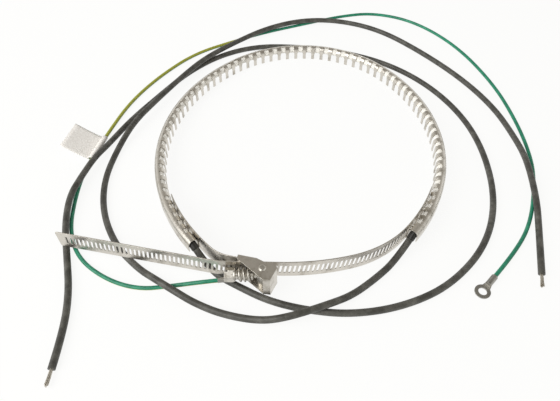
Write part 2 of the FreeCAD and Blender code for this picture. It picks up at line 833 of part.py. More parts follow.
def main():
    os.makedirs("parts", exist_ok=True)
    path = ring_path()
    right_x, right_y, right_heading = path.at(0.0)
    left_x, left_y, left_heading = path.at(path.length())
    left_mouth, left_direction = exit_axis(left_x, left_y, left_heading)
    right_mouth, right_direction = exit_axis(right_x, right_y, right_heading + 180.0)
    band = slotted_band_path(path)

    ring_parts = {
        "heater_channel": heater_channel(path),
        "heating_rope": heating_rope(path),
        "end_sleeve_left": end_sleeve(left_mouth, left_direction),
        "end_sleeve_right": end_sleeve(right_mouth, right_direction),
        "left_strap": left_strap(path),
        "slotted_band": slotted_band(band),
        "saddle": at_buckle(saddle()),
        "pivot_pin_upper": at_buckle(pivot_pin(True)),
        "pivot_pin_lower": at_buckle(pivot_pin(False)),
        "swivel_block": at_buckle(swivel_block()),
        "worm_screw": at_buckle(at_screw(worm_screw())),
        "screw_clip": at_buckle(at_screw(screw_clip())),
        "ground_terminal": at_buckle(ground_terminal()),
        "ground_rivet": at_buckle(ground_rivet()),
    }
    shapes = {name: tipped(shape) for name, shape in ring_parts.items()}

    lead_routes = {
        "lead_left": (left_mouth, left_direction, lead_left_route),
        "lead_right": (right_mouth, right_direction, lead_right_route),
    }
    for name, (mouth, direction, route) in lead_routes.items():
        start = tipped_point(mouth + direction * sleeve_outside)
        ahead = tipped_direction(direction)
        landing = start + ahead * ((lead_diameter / 2.0 - start.z) / ahead.z)
        points = [start, landing] + cord_vectors(route)
        shapes[name] = cord(name, points, lead_diameter)
        shapes[name + "_strands"] = strands(points[-1], points[-2])

    barrel_plan = buckle_point(barrel_x, barrel_out)
    ground_start = tipped_point(Vector(barrel_plan[0], barrel_plan[1], barrel_height))
    barrel_heading = buckle_heading + barrel_turn
    away = tipped_direction(Vector(-cosd(barrel_heading), -sind(barrel_heading), 0))
    ring_end = Vector(ground_far_end[0], ground_far_end[1], ring_barrel_diameter / 2.0)
    ground_points = [ground_start, ground_start + away * ground_lead_out] + cord_vectors(ground_route) + [ring_end]
    shapes["ground_wire"] = cord("ground_wire", ground_points, ground_diameter)
    shapes["ring_terminal"] = ring_terminal(ring_end, ground_points[-2])
    shapes["label_flag"] = label_flag(cord_vectors(ground_route)[6], cord_vectors(ground_route)[7])

    for name, shape in shapes.items():
        box = shape.BoundBox
        print(
            name, shape.ShapeType, len(shape.Solids), "valid", shape.isValid(), "volume", round(shape.Volume, 1),
            [round(v, 1) for v in (box.XMin, box.XMax, box.YMin, box.YMax, box.ZMin, box.ZMax)],
        )
        shape.exportStep("parts/" + name + ".step")


main()
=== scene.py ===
"""Looks of a belly band crankcase heater: a comb-sided steel ring, its worm clamp and its cords."""
from __future__ import annotations

import logging
import math
from dataclasses import dataclass
from enum import Enum
from typing import Any, Iterable, Sequence

import bmesh
import bpy
from mathutils import Euler, Matrix, Vector

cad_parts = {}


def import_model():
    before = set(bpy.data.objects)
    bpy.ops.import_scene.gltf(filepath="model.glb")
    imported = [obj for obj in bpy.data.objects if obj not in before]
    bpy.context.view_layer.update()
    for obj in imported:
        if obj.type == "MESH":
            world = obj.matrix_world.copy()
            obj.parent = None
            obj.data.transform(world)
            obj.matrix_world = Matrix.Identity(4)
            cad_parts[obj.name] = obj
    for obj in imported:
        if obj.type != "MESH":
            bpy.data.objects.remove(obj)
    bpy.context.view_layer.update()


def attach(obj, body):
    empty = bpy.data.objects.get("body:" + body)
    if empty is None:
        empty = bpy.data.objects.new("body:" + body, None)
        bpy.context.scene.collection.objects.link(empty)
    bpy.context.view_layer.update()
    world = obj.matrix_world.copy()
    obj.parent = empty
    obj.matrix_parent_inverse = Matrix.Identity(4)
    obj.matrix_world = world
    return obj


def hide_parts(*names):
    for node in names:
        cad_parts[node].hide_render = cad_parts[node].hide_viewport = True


LOG = logging.getLogger("heater")
MM = 0.001
RING_BODY = "ring"
# Mesh layer that marks where painted shade darkens the comb's fingers.
SHADE_PAINT_LAYER = "heat"
UP = Vector((0.0, 0.0, 1.0))
WELD_MM = 1e-4
CAD_WELD_MM = 0.002
CELL_WELD_MM = 1e-3
NEAR_MM = 0.01
STRAIGHT_ANGLE = 0.01
FLAT_ANGLE = 1.0
SHARP_ANGLE = 35.0

Mesh = bmesh.types.BMesh
Vert = bmesh.types.BMVert
Edge = bmesh.types.BMEdge
Material = bpy.types.Material
Node = bpy.types.Node
Piece = bpy.types.Object
Socket = bpy.types.NodeSocket
Tree = bpy.types.NodeTree
Span = tuple[float, float]
Stops = Sequence[tuple[float, str]]


class Side(Enum):
    """The two ends of the ring, named as the viewer sees them."""

    LEFT = "left"
    RIGHT = "right"


def cosd(angle: float) -> float:
    """Gives the cosine of an angle in degrees."""
    return math.cos(math.radians(angle))


def sind(angle: float) -> float:
    """Gives the sine of an angle in degrees."""
    return math.sin(math.radians(angle))


def srgb(code: str) -> tuple[float, float, float, float]:
    """Turns an sRGB hex colour to linear light.

    Args:
        code: six hex digits, with or without a leading hash.

    Returns:
        Linear red, green and blue, and an alpha of one.
    """
    code = code.lstrip("#")
    values = [int(code[start:start + 2], 16) / 255.0 for start in (0, 2, 4)]
    linear = [v / 12.92 if v <= 0.04045 else ((v + 0.055) / 1.055) ** 2.4 for v in values]
    return linear[0], linear[1], linear[2], 1.0


@dataclass(frozen=True)
class RingSizes:
    """Sizes of the ring and its clamp, in millimetres and degrees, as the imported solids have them."""

    channel_width: float = 6.5
    channel_height: float = 10.0
    sheet: float = 0.6
    outer_wall_height: float = 7.5
    far_bend_radius: float = 82.0
    far_bend_angle: float = 91.6
    side_bend_radius: float = 130.0
    right_side_angle: float = 78.7
    left_side_angle: float = 91.1
    ring_turn: float = -6.5
    far_crest_x: float = 14.3
    far_crest_y: float = 101.7
    finger_pitch: float = 7.0
    finger_width: float = 4.0
    finger_shoulder: float = 5.4
    finger_shoulder_slope: float = 0.6
    rope_diameter: float = 4.7
    rope_clearance: float = 0.3
    sleeve_diameter: float = 4.6
    sleeve_inside: float = 3.5
    sleeve_outside: float = 2.5
    sleeve_height: float = 5.3
    exit_slope: float = 27.0
    band_width: float = 12.7
    band_thickness: float = 0.6
    band_foot: float = -0.15
    band_clearance: float = 0.2
    overlap_length: float = 36.0
    slot_pitch: float = 2.55
    slot_height: float = 6.5
    slot_width: float = 1.3
    plain_end: float = 4.0
    tail_length: float = 98.7
    tail_bend_radius: float = 50.0
    tail_turn: float = -10.5
    buckle_x: float = -35.4
    buckle_y: float = -112.1
    buckle_heading: float = -13.0
    band_angle: float = 11.5
    plate_length: float = 9.2
    plate_lead_in: float = 5.0
    cheek_x: float = 22.4
    pin_x: float = 14.8
    pin_out: float = 4.0
    screw_height: float = 6.5
    screw_diameter: float = 7.6
    thread_clearance: float = 0.4
    thread_length: float = 10.0
    neck_diameter: float = 3.2
    neck_length: float = 4.4
    flange_diameter: float = 7.6
    flange_thickness: float = 0.9
    head_across_flats: float = 7.0
    head_length: float = 4.9
    barrel_x: float = -9.2
    barrel_out: float = 9.0
    barrel_height: float = 0.62
    barrel_turn: float = 20.0
    ground_lead_out: float = 9.0
    tip_angle: float = 1.35
    ring_x: float = 20.6
    ring_y: float = 12.1

    @property
    def far_foot_y(self) -> float:
        """Where the ring stands on the tips of its comb, at the far side."""
        return self.far_crest_y - self.channel_width + self.sheet

    def ring_frame(self) -> Matrix:
        """Gives the step from the ring's own frame to the table's, tipped up at the front.

        Returns:
            The frame, as a matrix.
        """
        place = Matrix.Translation((self.ring_x, self.ring_y + self.far_foot_y, 0.0))
        tip = Matrix.Rotation(math.radians(-self.tip_angle), 4, "X")
        return place @ tip @ Matrix.Translation((0.0, -self.far_foot_y, 0.0))

    def buckle_frame(self) -> Matrix:
        """Gives the step from the buckle's frame to the table's."""
        turn = Matrix.Rotation(math.radians(self.buckle_heading), 4, "Z")
        return self.ring_frame() @ Matrix.Translation((self.buckle_x, self.buckle_y, 0.0)) @ turn

    def screw_frame(self) -> Matrix:
        """Gives the step from the screw's frame, its axis along X and its pivot at the origin."""
        turn = Matrix.Rotation(math.radians(self.band_angle), 4, "Z")
        return self.buckle_frame() @ Matrix.Translation((self.pin_x, -self.pin_out, self.screw_height)) @ turn

    def buckle_point(self, x: float, out: float) -> tuple[float, float]:
        """Gives a point in plan of the buckle's frame, in the ring's frame.

        Args:
            x: along the buckle.
            out: outwards from its plate.

        Returns:
            X and y in the ring's frame.
        """
        heading = self.buckle_heading
        return (
            self.buckle_x + x * cosd(heading) + out * sind(heading),
            self.buckle_y + x * sind(heading) - out * cosd(heading),
        )


SIZES = RingSizes()


@dataclass(frozen=True)
class Run:
    """A straight run or an arc in plan: where it starts, what it turns by and how long it is."""

    x: float
    y: float
    heading: float
    angle: float
    length: float


class PlanLine:
    """A line in plan, of straight runs and arcs that follow on smoothly."""

    def __init__(self, x: float, y: float, heading: float) -> None:
        """Starts a line at a point, on a heading in degrees.

        Args:
            x: of its first point.
            y: of its first point.
            heading: in degrees.
        """
        self.x = x
        self.y = y
        self.heading = heading
        self.runs: list[Run] = []

    def forward(self, length: float) -> PlanLine:
        """Adds a straight run.

        Args:
            length: of the run.

        Returns:
            The line itself.
        """
        self.runs.append(Run(self.x, self.y, self.heading, 0.0, length))
        self.x += length * cosd(self.heading)
        self.y += length * sind(self.heading)
        return self

    def turn(self, radius: float, angle: float) -> PlanLine:
        """Adds an arc, to the left where the angle is positive.

        Args:
            radius: of the arc.
            angle: that the heading turns by, in degrees.

        Returns:
            The line itself.
        """
        self.runs.append(Run(self.x, self.y, self.heading, angle, radius * math.radians(abs(angle))))
        reach = math.copysign(radius, angle)
        centre_x = self.x - reach * sind(self.heading)
        centre_y = self.y + reach * cosd(self.heading)
        self.heading += angle
        self.x = centre_x + reach * sind(self.heading)
        self.y = centre_y - reach * cosd(self.heading)
        return self

    def follow(self, run: Run, length: float, way: float = 1.0, wider: float = 0.0) -> PlanLine:
        """Adds a stretch that bends as a run does.

        Args:
            run: the run, of this line or another.
            length: of the stretch, measured on that run.
            way: minus one to bend the other way.
            wider: added to the radius.

        Returns:
            The line itself.
        """
        if run.angle == 0.0:
            return self.forward(length)
        radius = run.length / math.radians(abs(run.angle)) + wider
        return self.turn(radius, way * run.angle * (length / run.length))

    def turn_towards(self, x: float, y: float) -> PlanLine:
        """Adds the one arc that leads to a point.

        Args:
            x: of the point.
            y: of the point.

        Returns:
            The line itself.
        """
        chord = math.hypot(x - self.x, y - self.y)
        bearing = math.degrees(math.atan2(y - self.y, x - self.x))
        half_turn = (bearing - self.heading + 180.0) % 360.0 - 180.0
        if abs(half_turn) < STRAIGHT_ANGLE:
            return self.forward(chord)
        return self.turn(chord / (2.0 * abs(sind(half_turn))), 2.0 * half_turn)

    def join(self, x: float, y: float, heading: float) -> PlanLine:
        """Adds two arcs that lead to a point and arrive on a heading.

        Args:
            x: of the point.
            y: of the point.
            heading: in degrees.

        Returns:
            The line itself.
        """
        across = Vector((x - self.x, y - self.y))
        start = Vector((cosd(self.heading), sind(self.heading)))
        end = Vector((cosd(heading), sind(heading)))
        both = across.dot(start + end)
        spread = 2.0 * (1.0 - start.dot(end))
        reach = (math.sqrt(both * both + spread * across.length_squared) - both) / spread
        middle = (Vector((self.x, self.y)) + Vector((x, y)) + (start - end) * reach) * 0.5
        return self.turn_towards(middle.x, middle.y).turn_towards(x, y)

    def length(self) -> float:
        """Gives the length of the whole line."""
        return sum(run.length for run in self.runs)

    def at(self, distance: float) -> tuple[float, float, float]:
        """Gives x, y and heading at a distance along the line, also beyond either end.

        Args:
            distance: along the line.

        Returns:
            X, y and the heading in degrees.
        """
        *before, run = self.runs
        for earlier in before:
            if distance <= earlier.length:
                run = earlier
                break
            distance -= earlier.length
        walk = PlanLine(run.x, run.y, run.heading).follow(run, distance)
        return walk.x, walk.y, walk.heading

    def shifted(self, left: float) -> PlanLine:
        """Gives the parallel line at a distance to the left.

        Args:
            left: how far.

        Returns:
            The new line.
        """
        first = self.runs[0]
        x = first.x - left * sind(first.heading)
        y = first.y + left * cosd(first.heading)
        line = PlanLine(x, y, first.heading)
        for run in self.runs:
            line.follow(run, run.length, wider=-math.copysign(left, run.angle))
        return line

    def part(self, start: float, end: float) -> PlanLine:
        """Gives the stretch of the line between two distances along it.

        Args:
            start: where it starts.
            end: where it ends.

        Returns:
            The new line.
        """
        line = PlanLine(*self.at(start))
        passed = 0.0
        for run in self.runs:
            inside = min(end, passed + run.length) - max(start, passed)
            if inside > NEAR_MM:
                line.follow(run, inside)
            passed += run.length
        return line

    def backwards(self) -> PlanLine:
        """Gives the same line, walked from its end.

        Returns:
            The new line.
        """
        line = PlanLine(self.x, self.y, self.heading + 180.0)
        for run in reversed(self.runs):
            line.follow(run, run.length, way=-1.0)
        return line

    def frame(self, distance: float) -> Matrix:
        """Gives the frame at a distance along the line: X ahead, Y to the left, Z up."""
        x, y, heading = self.at(distance)
        return Matrix.Translation((x, y, 0.0)) @ Matrix.Rotation(math.radians(heading), 4, "Z")


def ring_line() -> PlanLine:
    """Gives the middle of the channel in plan, from its right end round the far side to its left end.

    Returns:
        The new line.
    """
    half = SIZES.channel_width / 2.0
    turn = SIZES.ring_turn
    crest = PlanLine(SIZES.far_crest_x + half * sind(turn), SIZES.far_crest_y - half * cosd(turn), turn)
    crest.turn(SIZES.far_bend_radius - half, -SIZES.far_bend_angle / 2.0)
    crest.turn(SIZES.side_bend_radius - half, -SIZES.right_side_angle)
    line = PlanLine(crest.x, crest.y, crest.heading + 180.0)
    line.turn(SIZES.side_bend_radius - half, SIZES.right_side_angle)
    line.turn(SIZES.far_bend_radius - half, SIZES.far_bend_angle)
    line.turn(SIZES.side_bend_radius - half, SIZES.left_side_angle)
    return line


def inner_side(line: PlanLine) -> PlanLine:
    """Gives the line where a band lies on the inner side of the comb."""
    return line.shifted(SIZES.channel_width / 2.0 + SIZES.band_clearance + SIZES.band_thickness / 2.0)


def strap_line(line: PlanLine) -> PlanLine:
    """Gives the plain strap's line, from inside the left end of the comb to the buckle's plate.

    Args:
        line: the middle of the channel in plan.

    Returns:
        The new line.
    """
    inner = inner_side(line)
    strap = inner.part(inner.length() - SIZES.overlap_length, inner.length())
    x, y = SIZES.buckle_point(-SIZES.plate_lead_in, -SIZES.band_thickness / 2.0)
    strap.join(x, y, SIZES.buckle_heading)
    return strap.forward(SIZES.plate_lead_in + SIZES.plate_length)


def slotted_line(line: PlanLine) -> PlanLine:
    """Gives the slotted band's line, from inside the right end of the comb to its free tail.

    Args:
        line: the middle of the channel in plan.

    Returns:
        The new line.
    """
    inner = inner_side(line)
    band = inner.part(0.0, SIZES.overlap_length).backwards()
    tilt = SIZES.band_angle
    offset = SIZES.screw_diameter / 2.0 + SIZES.thread_clearance + SIZES.band_thickness / 2.0
    entry = SIZES.cheek_x - SIZES.pin_x
    out = SIZES.pin_out - offset / cosd(tilt) - entry * sind(tilt) / cosd(tilt)
    x, y = SIZES.buckle_point(SIZES.cheek_x, out)
    band.join(x, y, SIZES.buckle_heading + tilt + 180.0)
    under = entry + SIZES.neck_length + SIZES.thread_length + SIZES.flange_thickness + SIZES.head_length
    band.forward(under / cosd(tilt))
    band.turn(SIZES.tail_bend_radius, SIZES.tail_turn)
    bend = SIZES.tail_bend_radius * math.radians(abs(SIZES.tail_turn))
    return band.forward(SIZES.tail_length - bend)


def set_inputs(tree: Tree, node: Node, inputs: dict[Any, Any]) -> None:
    """Sets or links inputs of a node.

    Args:
        tree: the node tree that it is in.
        node: whose inputs they are.
        inputs: by name or number, each a value, a socket to link, or a node to link the first socket of.
    """
    for name, value in inputs.items():
        if isinstance(value, Node):
            value = value.outputs[0]
        if isinstance(value, Socket):
            tree.links.new(value, node.inputs[name])
        else:
            node.inputs[name].default_value = value


def add_node(
    tree: Tree, kind: str, inputs: dict[Any, Any] | None = None, stops: Stops = (), **settings: Any,
) -> Node:
    """Adds a shader node with its settings, values and links.

    Args:
        tree: the node tree that it goes into.
        kind: the node's type name.
        inputs: as in set_inputs.
        stops: of its colour ramp, if it has one, from the lowest up, each a place and an sRGB hex colour.
        settings: attributes of the node itself.

    Returns:
        The new node.
    """
    node = tree.nodes.new(kind)
    for name, value in settings.items():
        setattr(node, name, value)
    set_inputs(tree, node, inputs or {})
    if stops:
        elements = node.color_ramp.elements
        elements.remove(elements[-1])
        elements[0].position = stops[0][0]
        for place, _ in stops[1:]:
            elements.new(place)
        for element, (_, code) in zip(elements, stops):
            element.color = srgb(code)
    return node


def new_material(name: str) -> tuple[Material, Tree, Node]:
    """Starts a material, and gives it, its tree and its principled shader.

    Args:
        name: of the material.

    Returns:
        The material, its node tree and its shader.
    """
    material = bpy.data.materials.new(name)
    material.use_nodes = True
    return material, material.node_tree, material.node_tree.nodes["Principled BSDF"]


@dataclass(frozen=True)
class SteelStrip:
    """Cold-rolled stainless strip. The rolls leave it soft-bright, and handling leaves it cloudy.

    The rolls' waves are finer on real strip, and are drawn as coarse as they need to be to show.
    """

    name: str = "stainless_strip"
    clean: str = "#d4cfc6"
    dull: str = "#a9a397"
    # Colour of the painted shade, mixed in where the mesh's layer marks it.
    painted_shade_colour: str | None = None
    stain_mm: float = 9.0
    wave_mm: float = 2.2
    wave_depth_mm: float = 0.15
    roughness_low: float = 0.26
    roughness_high: float = 0.42
    bump: float = 0.18

    def build(self) -> Material:
        """Builds the material. Painted shade darkens it where the mesh's painted-shade layer says so.

        Returns:
            The material.
        """
        material, tree, shader = new_material(self.name)
        place = add_node(tree, "ShaderNodeTexCoord").outputs["Object"]
        stain = add_node(tree, "ShaderNodeTexNoise", {
            "Vector": place, "Scale": 1.0 / (self.stain_mm * MM), "Detail": 5.0, "Roughness": 0.62,
        })
        stops = [(0.30, self.dull), (0.48, self.clean)]
        colour = add_node(tree, "ShaderNodeValToRGB", {"Fac": stain}, stops=stops)
        # Painted shade: the darker colour goes where the mesh's layer marks it.
        if self.painted_shade_colour:
            painted_shade_weight = add_node(tree, "ShaderNodeAttribute", attribute_name=SHADE_PAINT_LAYER)
            colour = add_node(tree, "ShaderNodeMixRGB", {
                "Fac": painted_shade_weight.outputs["Fac"], "Color1": colour, "Color2": srgb(self.painted_shade_colour),
            })
        polish = add_node(tree, "ShaderNodeMapRange", {
            "Value": stain, 1: 0.35, 2: 0.62, 3: self.roughness_high, 4: self.roughness_low,
        })
        wave = add_node(tree, "ShaderNodeTexNoise", {
            "Vector": place, "Scale": 1.0 / (self.wave_mm * MM), "Detail": 3.0,
        })
        bump = add_node(tree, "ShaderNodeBump", {
            "Strength": self.bump, "Distance": self.wave_depth_mm * MM, "Height": wave,
        })
        set_inputs(tree, shader, {
            "Base Color": colour, "Metallic": 1.0, "Roughness": polish, "Normal": bump,
        })
        return material


@dataclass(frozen=True)
class CordJacket:
    """Extruded cord jacket with the die's faint grain. A second colour may run along one side.

    The real grain is too fine to show, and is drawn coarser.
    """

    name: str
    colour: str
    worn: str
    stripe: str | None = None
    stripe_share: float = 0.34
    stripe_blur: float = 0.02
    stripe_up_mm: tuple[float, float] = (165.0, 330.0)
    stripe_roll_mm: float = 30.0
    stripe_lean: float = 0.08
    roughness: float = 0.5
    grain_mm: float = 1.1
    grain_depth_mm: float = 0.08
    wear_mm: float = 6.0

    def build(self) -> Material:
        """Builds the material.

        Returns:
            The material.
        """
        material, tree, shader = new_material(self.name)
        place = add_node(tree, "ShaderNodeTexCoord")
        wear = add_node(tree, "ShaderNodeTexNoise", {
            "Vector": place.outputs["Object"], "Scale": 1.0 / (self.wear_mm * MM), "Detail": 4.0,
            "Roughness": 0.6,
        })
        stops = [(0.40, self.colour), (0.74, self.worn)]
        colour = add_node(tree, "ShaderNodeValToRGB", {"Fac": wear}, stops=stops)
        if self.stripe:
            colour = self.striped(tree, place.outputs["UV"], colour)
        grain = add_node(tree, "ShaderNodeTexNoise", {
            "Vector": place.outputs["Object"], "Scale": 1.0 / (self.grain_mm * MM), "Detail": 2.0,
        })
        bump = add_node(tree, "ShaderNodeBump", {
            "Strength": 0.25, "Distance": self.grain_depth_mm * MM, "Height": grain,
        })
        set_inputs(tree, shader, {"Base Color": colour, "Roughness": self.roughness, "Normal": bump})
        return material

    def striped(self, tree: Tree, uv: Socket, colour: Node) -> Node:
        """Lays the second colour along the cord, upwards over one stretch and under the cord elsewhere.

        Args:
            tree: the material's node tree.
            uv: the jacket's UV map: turns about the cord, and millimetres along it.
            colour: what lies under the stripe.

        Returns:
            The node of the striped colour.
        """
        parts = add_node(tree, "ShaderNodeSeparateXYZ", {0: uv}).outputs
        start, end = self.stripe_up_mm
        roll = self.stripe_roll_mm
        away = parts["X"]
        for before, after, first, last in ((start - roll, start, 0.5, 0.0), (end, end + roll, 0.0, 0.5)):
            rolling = add_node(tree, "ShaderNodeMapRange", {
                "Value": parts["Y"], 1: before, 2: after, 3: first, 4: last,
            }, interpolation_type="SMOOTHSTEP")
            away = add_node(tree, "ShaderNodeMath", {0: away, 1: rolling}, operation="ADD")
        steps = (("ADD", 0.5 - self.stripe_lean), ("FRACT", 0.0), ("SUBTRACT", 0.5), ("ABSOLUTE", 0.0))
        for operation, value in steps:
            away = add_node(tree, "ShaderNodeMath", {0: away, 1: value}, operation=operation)
        edge = self.stripe_share / 2.0
        inside = add_node(tree, "ShaderNodeMapRange", {
            "Value": away, 1: edge + self.stripe_blur, 2: edge - self.stripe_blur, 3: 0.0, 4: 1.0,
        })
        return add_node(tree, "ShaderNodeMixRGB", {
            "Fac": inside, "Color1": colour, "Color2": srgb(self.stripe),
        })


@dataclass(frozen=True)
class LabelPaper:
    """Self-adhesive paper, uncoated: matte, off-white and slightly cloudy with fibres.

    The real fibres are too fine to show, and are drawn coarser.
    """

    name: str = "label_paper"
    colour: str = "#f8f5f1"
    shade: str = "#ebe7e1"
    fibre_mm: float = 1.6
    fibre_depth_mm: float = 0.05
    roughness: float = 0.9

    def build(self) -> Material:
        """Builds the material.

        Returns:
            The material.
        """
        material, tree, shader = new_material(self.name)
        place = add_node(tree, "ShaderNodeTexCoord").outputs["Object"]
        fibre = add_node(tree, "ShaderNodeTexNoise", {
            "Vector": place, "Scale": 1.0 / (self.fibre_mm * MM), "Detail": 6.0, "Roughness": 0.7,
        })
        stops = [(0.3, self.shade), (0.55, self.colour)]
        colour = add_node(tree, "ShaderNodeValToRGB", {"Fac": fibre}, stops=stops)
        bump = add_node(tree, "ShaderNodeBump", {
            "Strength": 0.2, "Distance": self.fibre_depth_mm * MM, "Height": fibre,
        })
        set_inputs(tree, shader, {"Base Color": colour, "Roughness": self.roughness, "Normal": bump})
        return material


@dataclass(frozen=True)
class BraidedRope:
    """Glass-braided heating rope: off-white yarns laid crosswise, which scatter the light.

    The yarns are drawn coarser than they would be, so that they show.
    """

    name: str = "braided_rope"
    yarn: str = "#fbf9f3"
    # Darker colour in the weave's hollows: painted shade between the yarns.
    gap: str = "#dcd8cd"
    yarns_round: float = 12.0
    yarn_mm: float = 1.2
    yarn_depth_mm: float = 0.12
    roughness: float = 0.85

    def build(self) -> Material:
        """Builds the material.

        Returns:
            The material.
        """
        material, tree, shader = new_material(self.name)
        place = add_node(tree, "ShaderNodeTexCoord")
        parts = add_node(tree, "ShaderNodeSeparateXYZ", {0: place.outputs["UV"]}).outputs
        waves = []
        for way in (1.0, -1.0):
            lay = add_node(tree, "ShaderNodeMath", {
                0: parts["X"], 1: way * self.yarns_round * math.tau,
            }, operation="MULTIPLY")
            along = add_node(tree, "ShaderNodeMath", {
                0: parts["Y"], 1: math.tau / self.yarn_mm, 2: lay,
            }, operation="MULTIPLY_ADD")
            waves.append(add_node(tree, "ShaderNodeMath", {0: along}, operation="SINE"))
        weave = add_node(tree, "ShaderNodeMath", {0: waves[0], 1: waves[1]}, operation="MULTIPLY")
        height = add_node(tree, "ShaderNodeMapRange", {"Value": weave, 1: -1.0, 2: 1.0, 3: 0.0, 4: 1.0})
        # The low parts of the weave take the gap colour: painted shade between the yarns.
        stops = [(0.05, self.gap), (0.4, self.yarn)]
        colour = add_node(tree, "ShaderNodeValToRGB", {"Fac": height}, stops=stops)
        bump = add_node(tree, "ShaderNodeBump", {
            "Strength": 0.3, "Distance": self.yarn_depth_mm * MM, "Height": weave,
        })
        set_inputs(tree, shader, {"Base Color": colour, "Roughness": self.roughness, "Normal": bump})
        return material


class Finishes:
    """Every finish of the object, built once."""

    def __init__(self) -> None:
        """Builds the materials."""
        self.strip = SteelStrip().build()
        # The comb's strip carries painted shade on the upper bend of its fingers.
        self.comb = SteelStrip(name="shade_painted_strip", painted_shade_colour="#877a74").build()
        self.plated = SteelStrip(
            name="zinc_plated_steel", clean="#cac6bd", dull="#9f9a90", stain_mm=4.0, wave_mm=0.9,
            roughness_low=0.28, roughness_high=0.40, bump=0.12,
        ).build()
        self.tinned = SteelStrip(
            name="tinned_terminal", clean="#a7a59f", dull="#807e79", stain_mm=3.0, wave_mm=0.7,
            roughness_low=0.34, roughness_high=0.5,
        ).build()
        self.strands = SteelStrip(
            name="tinned_copper", clean="#cbc6bb", dull="#9b907f", stain_mm=1.5, wave_mm=0.5,
        ).build()
        self.lead = CordJacket("rubber_jacket", "#3e3d38", "#63625c", roughness=0.48).build()
        self.ground = CordJacket(
            "vinyl_jacket", "#157a5c", "#2a9672", stripe="#a3a63c", stripe_share=0.36, roughness=0.38,
        ).build()
        self.sleeve = CordJacket("shrunk_sleeve", "#1f1e1b", "#3a3935", roughness=0.42).build()
        self.rope = BraidedRope().build()
        self.paper = LabelPaper().build()


def placed(name: str, data: Any) -> Piece:
    """Puts new data into the scene as an object.

    Args:
        name: of the object.
        data: a mesh, a curve, a camera or a lamp.

    Returns:
        The object.
    """
    item = bpy.data.objects.new(name, data)
    bpy.context.scene.collection.objects.link(item)
    return item


def finish_piece(
    name: str, mesh: Mesh, place: Matrix, material: Material, node: str,
    body: str = RING_BODY, smooth_angle: float = 40.0,
) -> Piece:
    """Turns a mesh in millimetres into a dressed piece that rides on a body.

    Args:
        name: of the piece.
        mesh: the shape, in its own frame. It is freed.
        place: the step from that frame to the table's.
        material: of the whole piece.
        node: the CAD node that it stands for.
        body: the CAD body that it moves with.
        smooth_angle: edges that turn by less are shaded smooth.

    Returns:
        The piece's object.
    """
    bmesh.ops.transform(mesh, matrix=Matrix.Scale(MM, 4) @ place, verts=mesh.verts)
    data = bpy.data.meshes.new(name)
    mesh.to_mesh(data)
    mesh.free()
    for face in data.polygons:
        face.use_smooth = True
    data.set_sharp_from_angle(angle=math.radians(smooth_angle))
    data.materials.append(material)
    piece = placed(name, data)
    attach(piece, body)
    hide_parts(node)
    LOG.info("%s: %d faces on %s", name, len(data.polygons), body)
    return piece


def add_modifier(piece: Piece, kind: str, **settings: Any) -> None:
    """Adds a modifier with its settings to a piece.

    Args:
        piece: what it goes on.
        kind: the modifier's type name.
        settings: attributes of the modifier.
    """
    modifier = piece.modifiers.new(kind.lower(), kind)
    for name, value in settings.items():
        setattr(modifier, name, value)


def add_edge_rounding(piece: Piece, width_mm: float, segments: int = 2) -> None:
    """Rounds the sharp edges of a piece.

    Args:
        piece: what is rounded.
        width_mm: of the rounding.
        segments: steps across it.
    """
    add_modifier(
        piece, "BEVEL", width=width_mm * MM, segments=segments, limit_method="ANGLE",
        angle_limit=math.radians(SHARP_ANGLE), harden_normals=True,
    )


def softened(
    node: str, material: Material, rounding_mm: float, body: str = RING_BODY,
) -> Piece:
    """Makes a round-edged piece from a copy of a CAD node.

    Args:
        node: the node's name. The piece stands for it.
        material: of the piece.
        rounding_mm: width of the rounded edges.
        body: the CAD body that it moves with.

    Returns:
        The piece's object.
    """
    mesh = bmesh.new()
    mesh.from_mesh(bpy.data.objects[node].data)
    bmesh.ops.remove_doubles(mesh, verts=mesh.verts, dist=CAD_WELD_MM * MM)
    flat = math.radians(FLAT_ANGLE)
    bmesh.ops.dissolve_limit(mesh, angle_limit=flat, verts=mesh.verts, edges=mesh.edges)
    to_mm = Matrix.Scale(1.0 / MM, 4)
    piece = finish_piece(
        node + "_finished", mesh, to_mm, material, node, body=body, smooth_angle=30.0,
    )
    add_edge_rounding(piece, rounding_mm)
    return piece


def extrude(mesh: Mesh, edges: Sequence[Edge]) -> tuple[list[Vert], list[Edge]]:
    """Extrudes edges where they are, and gives the new vertices and the new border edges.

    Args:
        mesh: the mesh that they are in.
        edges: what is extruded.

    Returns:
        The new vertices, and the new border edges.
    """
    parts = bmesh.ops.extrude_edge_only(mesh, edges=edges)["geom"]
    verts = [part for part in parts if isinstance(part, Vert)]
    fresh = set(verts)
    return verts, [part for part in parts if isinstance(part, Edge) and set(part.verts) <= fresh]


def next_row(row: Sequence[Vert], verts: Iterable[Vert]) -> list[Vert]:
    """Gives the new vertex that each vertex of a row was extruded to.

    Args:
        row: vertices before the extrusion.
        verts: what it made of them.

    Returns:
        The new vertices, in the order of the row.
    """
    fresh = set(verts)
    return [
        next(edge.other_vert(vert) for edge in vert.link_edges if edge.other_vert(vert) in fresh)
        for vert in row
    ]


def extruded_strip(
    profile: Sequence[Vector], stations: Sequence[Matrix],
) -> tuple[Mesh, list[list[Vert]]]:
    """Draws an open profile along a row of frames. Its vertices get a painted-shade layer, at none.

    Args:
        profile: points across the strip, in the frame of a station.
        stations: frames along the strip.

    Returns:
        The mesh, and its vertices for each station.
    """
    mesh = bmesh.new()
    mesh.verts.layers.float.new(SHADE_PAINT_LAYER)
    rows = [[mesh.verts.new(stations[0] @ point) for point in profile]]
    edges = [mesh.edges.new(pair) for pair in zip(rows[0], rows[0][1:])]
    for before, after in zip(stations, stations[1:]):
        verts, edges = extrude(mesh, edges)
        bmesh.ops.transform(mesh, matrix=after @ before.inverted(), verts=verts)
        rows.append(next_row(rows[-1], verts))
    return mesh, rows


